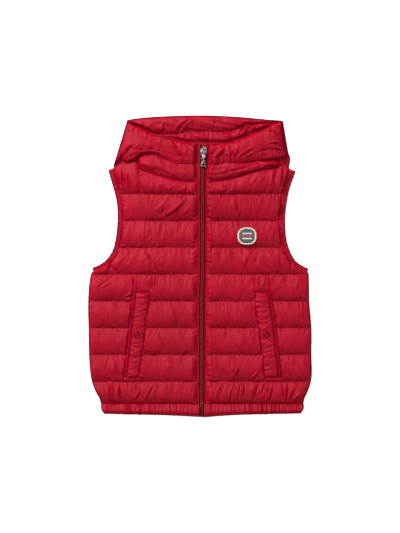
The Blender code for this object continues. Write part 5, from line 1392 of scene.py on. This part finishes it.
def patchLoop(scale, count):
    turns = np.linspace(0, 2 * math.pi, count, endpoint=False)
    x, y = (np.sign(v) * np.abs(v) ** 0.8 for v in (np.cos(turns), np.sin(turns)))
    x, y = patch["x"] + patch["halfX"] * scale * x, patch["y"] + patch["halfY"] * scale * y
    return np.stack([x, y], axis=1)


def sewPatch(seat):
    count, thick = patch["count"], patch["thick"]
    vertices = []
    for scale, share in patch["edge"]:
        twist = 1 + 0.05 * np.cos(np.arange(count) * math.pi)  # the satin stitches' ridges
        vertices += [(x, y, seat + thick * share * w) for (x, y), w in zip(patchLoop(scale, count), twist)]
    rings = len(patch["edge"])
    at = lambda k, i: k % rings * count + i % count
    faces = [[at(k, i), at(k, i + 1), at(k + 1, i + 1), at(k + 1, i)]
             for k in range(rings) for i in range(count)]
    obj = meshPiece("patchEdge", vertices, faces, finishes["patchEdge"], "patch")
    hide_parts("chest_patch")
    vertices = [(x, y, seat + thick * share)
                for scale, share in patch["field"] for x, y in patchLoop(scale, count)]
    faces = tubeFaces(0, len(patch["field"]), count)
    obj = meshPiece("patchField", vertices, faces, finishes["patchField"], "patch")
    along, across = np.meshgrid(np.linspace(-1, 1, 25), np.linspace(-1, 1, 7))
    full = np.sqrt(np.clip(1 - np.abs(along) ** 8, 0, 1))  # a bar's ends are rounded
    for word, half, up, finish in patch["bars"]:
        x = patch["x"] + half * along
        y = patch["y"] + up + patch["barWide"] / 2 * across * full
        z = seat + thick * 0.66 + 0.5 * np.sqrt(np.clip(1 - across**2, 0, 1)) * full
        floor = np.full_like(x, seat + thick * 0.6)
        bar = np.stack([x, y, z], axis=2)
        obj = sheetPiece("patchBar" + word, bar, floor, finishes[finish], "patch", 2)


thread = {"long": 2.4, "gap": 1.1, "radius": 0.17, "sink": 0.05, "spots": (0.0, 0.2, 0.5, 0.8, 1.0),
          "fatness": (0.25, 0.85, 1.0, 0.85, 0.25), "corners": 5}


def treeOf(obj):
    data = obj.data
    return BVHTree.FromPolygons([v.co[:] for v in data.vertices], [p.vertices[:] for p in data.polygons])


def heightOn(tree, x, y):
    hit = tree.ray_cast(Vector((x * mm, y * mm, 0.2)), Vector((0, 0, -1)))
    return hit[0].z / mm if hit[0] else None


def stitchLine(line, tree):  # a run of stitches along a plan line, lying on a piece
    line = np.array(line, float)
    length = distances(line)
    step = thread["long"] + thread["gap"]
    vertices, faces = [], []
    for n in range(int(length[-1] / step)):
        reached = [n * step + thread["long"] * t for t in thread["spots"]]
        plan = [(np.interp(s, length, line[:, 0]), np.interp(s, length, line[:, 1])) for s in reached]
        heights = [heightOn(tree, x, y) for x, y in plan]
        if None in heights:
            continue
        spots = [np.array([x, y, z - thread["sink"]]) for (x, y), z in zip(plan, heights)]
        run = spots[-1] - spots[0]
        across = np.array([-run[1], run[0], 0.0])
        across /= max(np.linalg.norm(across), 1e-6)
        faces += tubeFaces(len(vertices), len(spots), thread["corners"])
        for p, fat in zip(spots, thread["fatness"]):
            for k in range(thread["corners"]):
                a = 2 * math.pi * k / thread["corners"]
                off = across * math.cos(a) + np.array([0, 0, 1]) * math.sin(a)
                vertices.append(p + thread["radius"] * fat * off)
    return vertices, faces


def stitchRuns(side, word):  # each stitched line with the piece that it lies on
    front, hemBand = trees["front" + word], trees["hemBand" + word]
    runs = []
    for y in seamLines()[1:]:
        first, last = zipEdge(side) + side * 7.0, float(outerX(y, side)) - side * 1.5
        inner, outer = weltAt(y, side)
        if welt["y"][-1] - 2 < y < welt["y"][0] + 2:
            runs.append(([(first, y), (float(inner), y)], front))
            runs.append(([(float(outer) + side * 7, y), (last, y)], front))
        else:
            runs.append(([(first, y), (last, y)], front))
    x = zipEdge(side) + side * 0.72 * zipSizes["strip"][side]
    ys = np.linspace(-238, 146, 97)
    runs.append((np.stack([drawnIn(np.full(97, x), ys), ys], axis=1), front))
    runs.append(([(x, 149), (x, 178)], trees["hoodLower" + word]))
    runs.append(([(x, 182), (x, 213)], trees["hoodRim" + word]))
    arm, _, _ = armholeLine(side, binding["wide"] - 0.8, 10)
    runs.append((arm[6:-8], trees["armholeBinding" + word]))
    arm, _, _ = armholeLine(side, binding["wide"] + 0.4 + binding["insideLine"], 10)
    runs.append((arm[(arm[:, 1] > 12) & (arm[:, 1] < 160)], front))
    x = np.linspace(zipEdge(side) + side * 2, float(sideX("hemSide", side, -242)) - side * 3, 60)
    y = quilt["hem"] - lie["seamGap"] / 2 + (curveY("hemEdge", x) - quilt["hem"]) * hem["sewn"]
    runs.append((np.stack([x, y], axis=1), hemBand))
    return runs


def sewStitches(name, runs):
    vertices, faces = [], []
    for line, tree in runs:
        more, moreFaces = stitchLine(line, tree)
        faces += [[i + len(vertices) for i in face] for face in moreFaces]
        vertices += more
    meshPiece(name, vertices, faces, finishes["thread"], "shell")


laid = {}
for side, word in hands:
    laid["front" + word] = layFront(side, word)
for side, word in hands:
    neck, rim, mouth = hoodLines(side)
    end = 1 + int(np.argmin(np.abs(np.abs(neck[:, 0]) - hood["lowerEnd"][side])))
    end += (end - 1) % 2
    laid["hoodLower" + word] = layHood("lower", word, side, neck[:end], rim[:end])
    end = len(rim) - (len(rim) - 1) % 2
    laid["hoodRim" + word] = layHood("rim", word, side, rim[:end] + (0, lie["seamGap"]), mouth[:end])
print("cloth cut and pinned:", [sheet[0] for sheet in waiting])
filled = fillCloth()
print("channels filled")
pieces = {}
for _, word in hands:
    name = "front" + word
    pieces[name] = sewFront(filled[name], laid[name], word)
for side, word in hands:
    for part in ("lower", "rim"):
        name = "hood" + part.capitalize() + word
        pieces[name] = sewHood(part, word, side, filled[name], laid[name])
print("fronts and hood sewn")
sewBack()
sewHoodBack()
for side, word in hands:
    pieces["hemBand" + word] = sewHem(side, word)
    pieces["armholeBinding" + word] = sewBinding(side, word)
    sewWelt(side, word)
    sewPiping(side, word)
    pressSnap(side, word)
sewHemBack()
layTapes()
windCoil()
finishMetal()
trees = {name: treeOf(obj) for name, obj in pieces.items()}
under = [heightOn(trees["frontLeft"], x, y) for x, y in patchLoop(0.9, 24)]
sewPatch(float(max(under) * 0.5 + np.mean(under) * 0.5) - 0.2)
print("trims sewn")
for side, word in hands:
    sewStitches("stitches" + word, stitchRuns(side, word))
print("stitches sewn")

studio = {
    "floor": 3.0,
    "glow": 0.62,
    "world": 0.34,
    "window": {"place": (-1.15, 1.75, 1.8), "size": (1.5, 1.1), "power": 140},
    "fill": {"place": (0.7, -1.5, 2.4), "size": (2.4, 2.0), "power": 22},
    "camera": (0.0002, 0, 4.0),
    "longSide": 0.9328,  # of what the picture shows at the floor's height
}


def layFloor():
    mesh = bpy.data.meshes.new("floor")
    half, z = studio["floor"], -0.5 * mm
    corners = [(-half, -half, z), (half, -half, z), (half, half, z), (-half, half, z)]
    mesh.from_pydata(corners, [], [(0, 1, 2, 3)])
    floor = bpy.data.objects.new("floor", mesh)
    bpy.context.scene.collection.objects.link(floor)
    surface = {"Roughness": 0.9, "Emission Color": (1, 1, 1, 1), "Emission Strength": studio["glow"]}
    finish = Finish("paleFloor", surface)
    grain = finish.noise(finish.place(), 0.02, 2, 0.5)
    tone = finish.mix(grain * 0.2, (0.96, 0.96, 0.96), (0.93, 0.93, 0.93))
    mesh.materials.append(finish.wear({"Base Color": tone}))


def hangLight(name):
    lamp = studio[name]
    light = bpy.data.lights.new(name + "Light", "AREA")
    light.shape, light.size, light.size_y = "RECTANGLE", *lamp["size"]
    light.energy = lamp["power"]
    obj = bpy.data.objects.new(name + "Light", light)
    obj.location = lamp["place"]
    obj.rotation_euler = (-Vector(lamp["place"])).to_track_quat("-Z", "Y").to_euler()
    bpy.context.scene.collection.objects.link(obj)


layFloor()
hangLight("window")
hangLight("fill")
world = bpy.data.worlds.new("studio")
world.use_nodes = True
world.node_tree.nodes["Background"].inputs["Color"].default_value = (1, 1, 1, 1)
world.node_tree.nodes["Background"].inputs["Strength"].default_value = studio["world"]
bpy.context.scene.world = world
bpy.context.scene.view_settings.view_transform = "Standard"

lens = bpy.data.cameras.new("camera")
lens.sensor_width = 36
lens.lens = lens.sensor_width * studio["camera"][2] / studio["longSide"]
camera = bpy.data.objects.new("camera", lens)
camera.location = studio["camera"]
bpy.context.scene.collection.objects.link(camera)
bpy.context.scene.camera = camera
print("studio set")
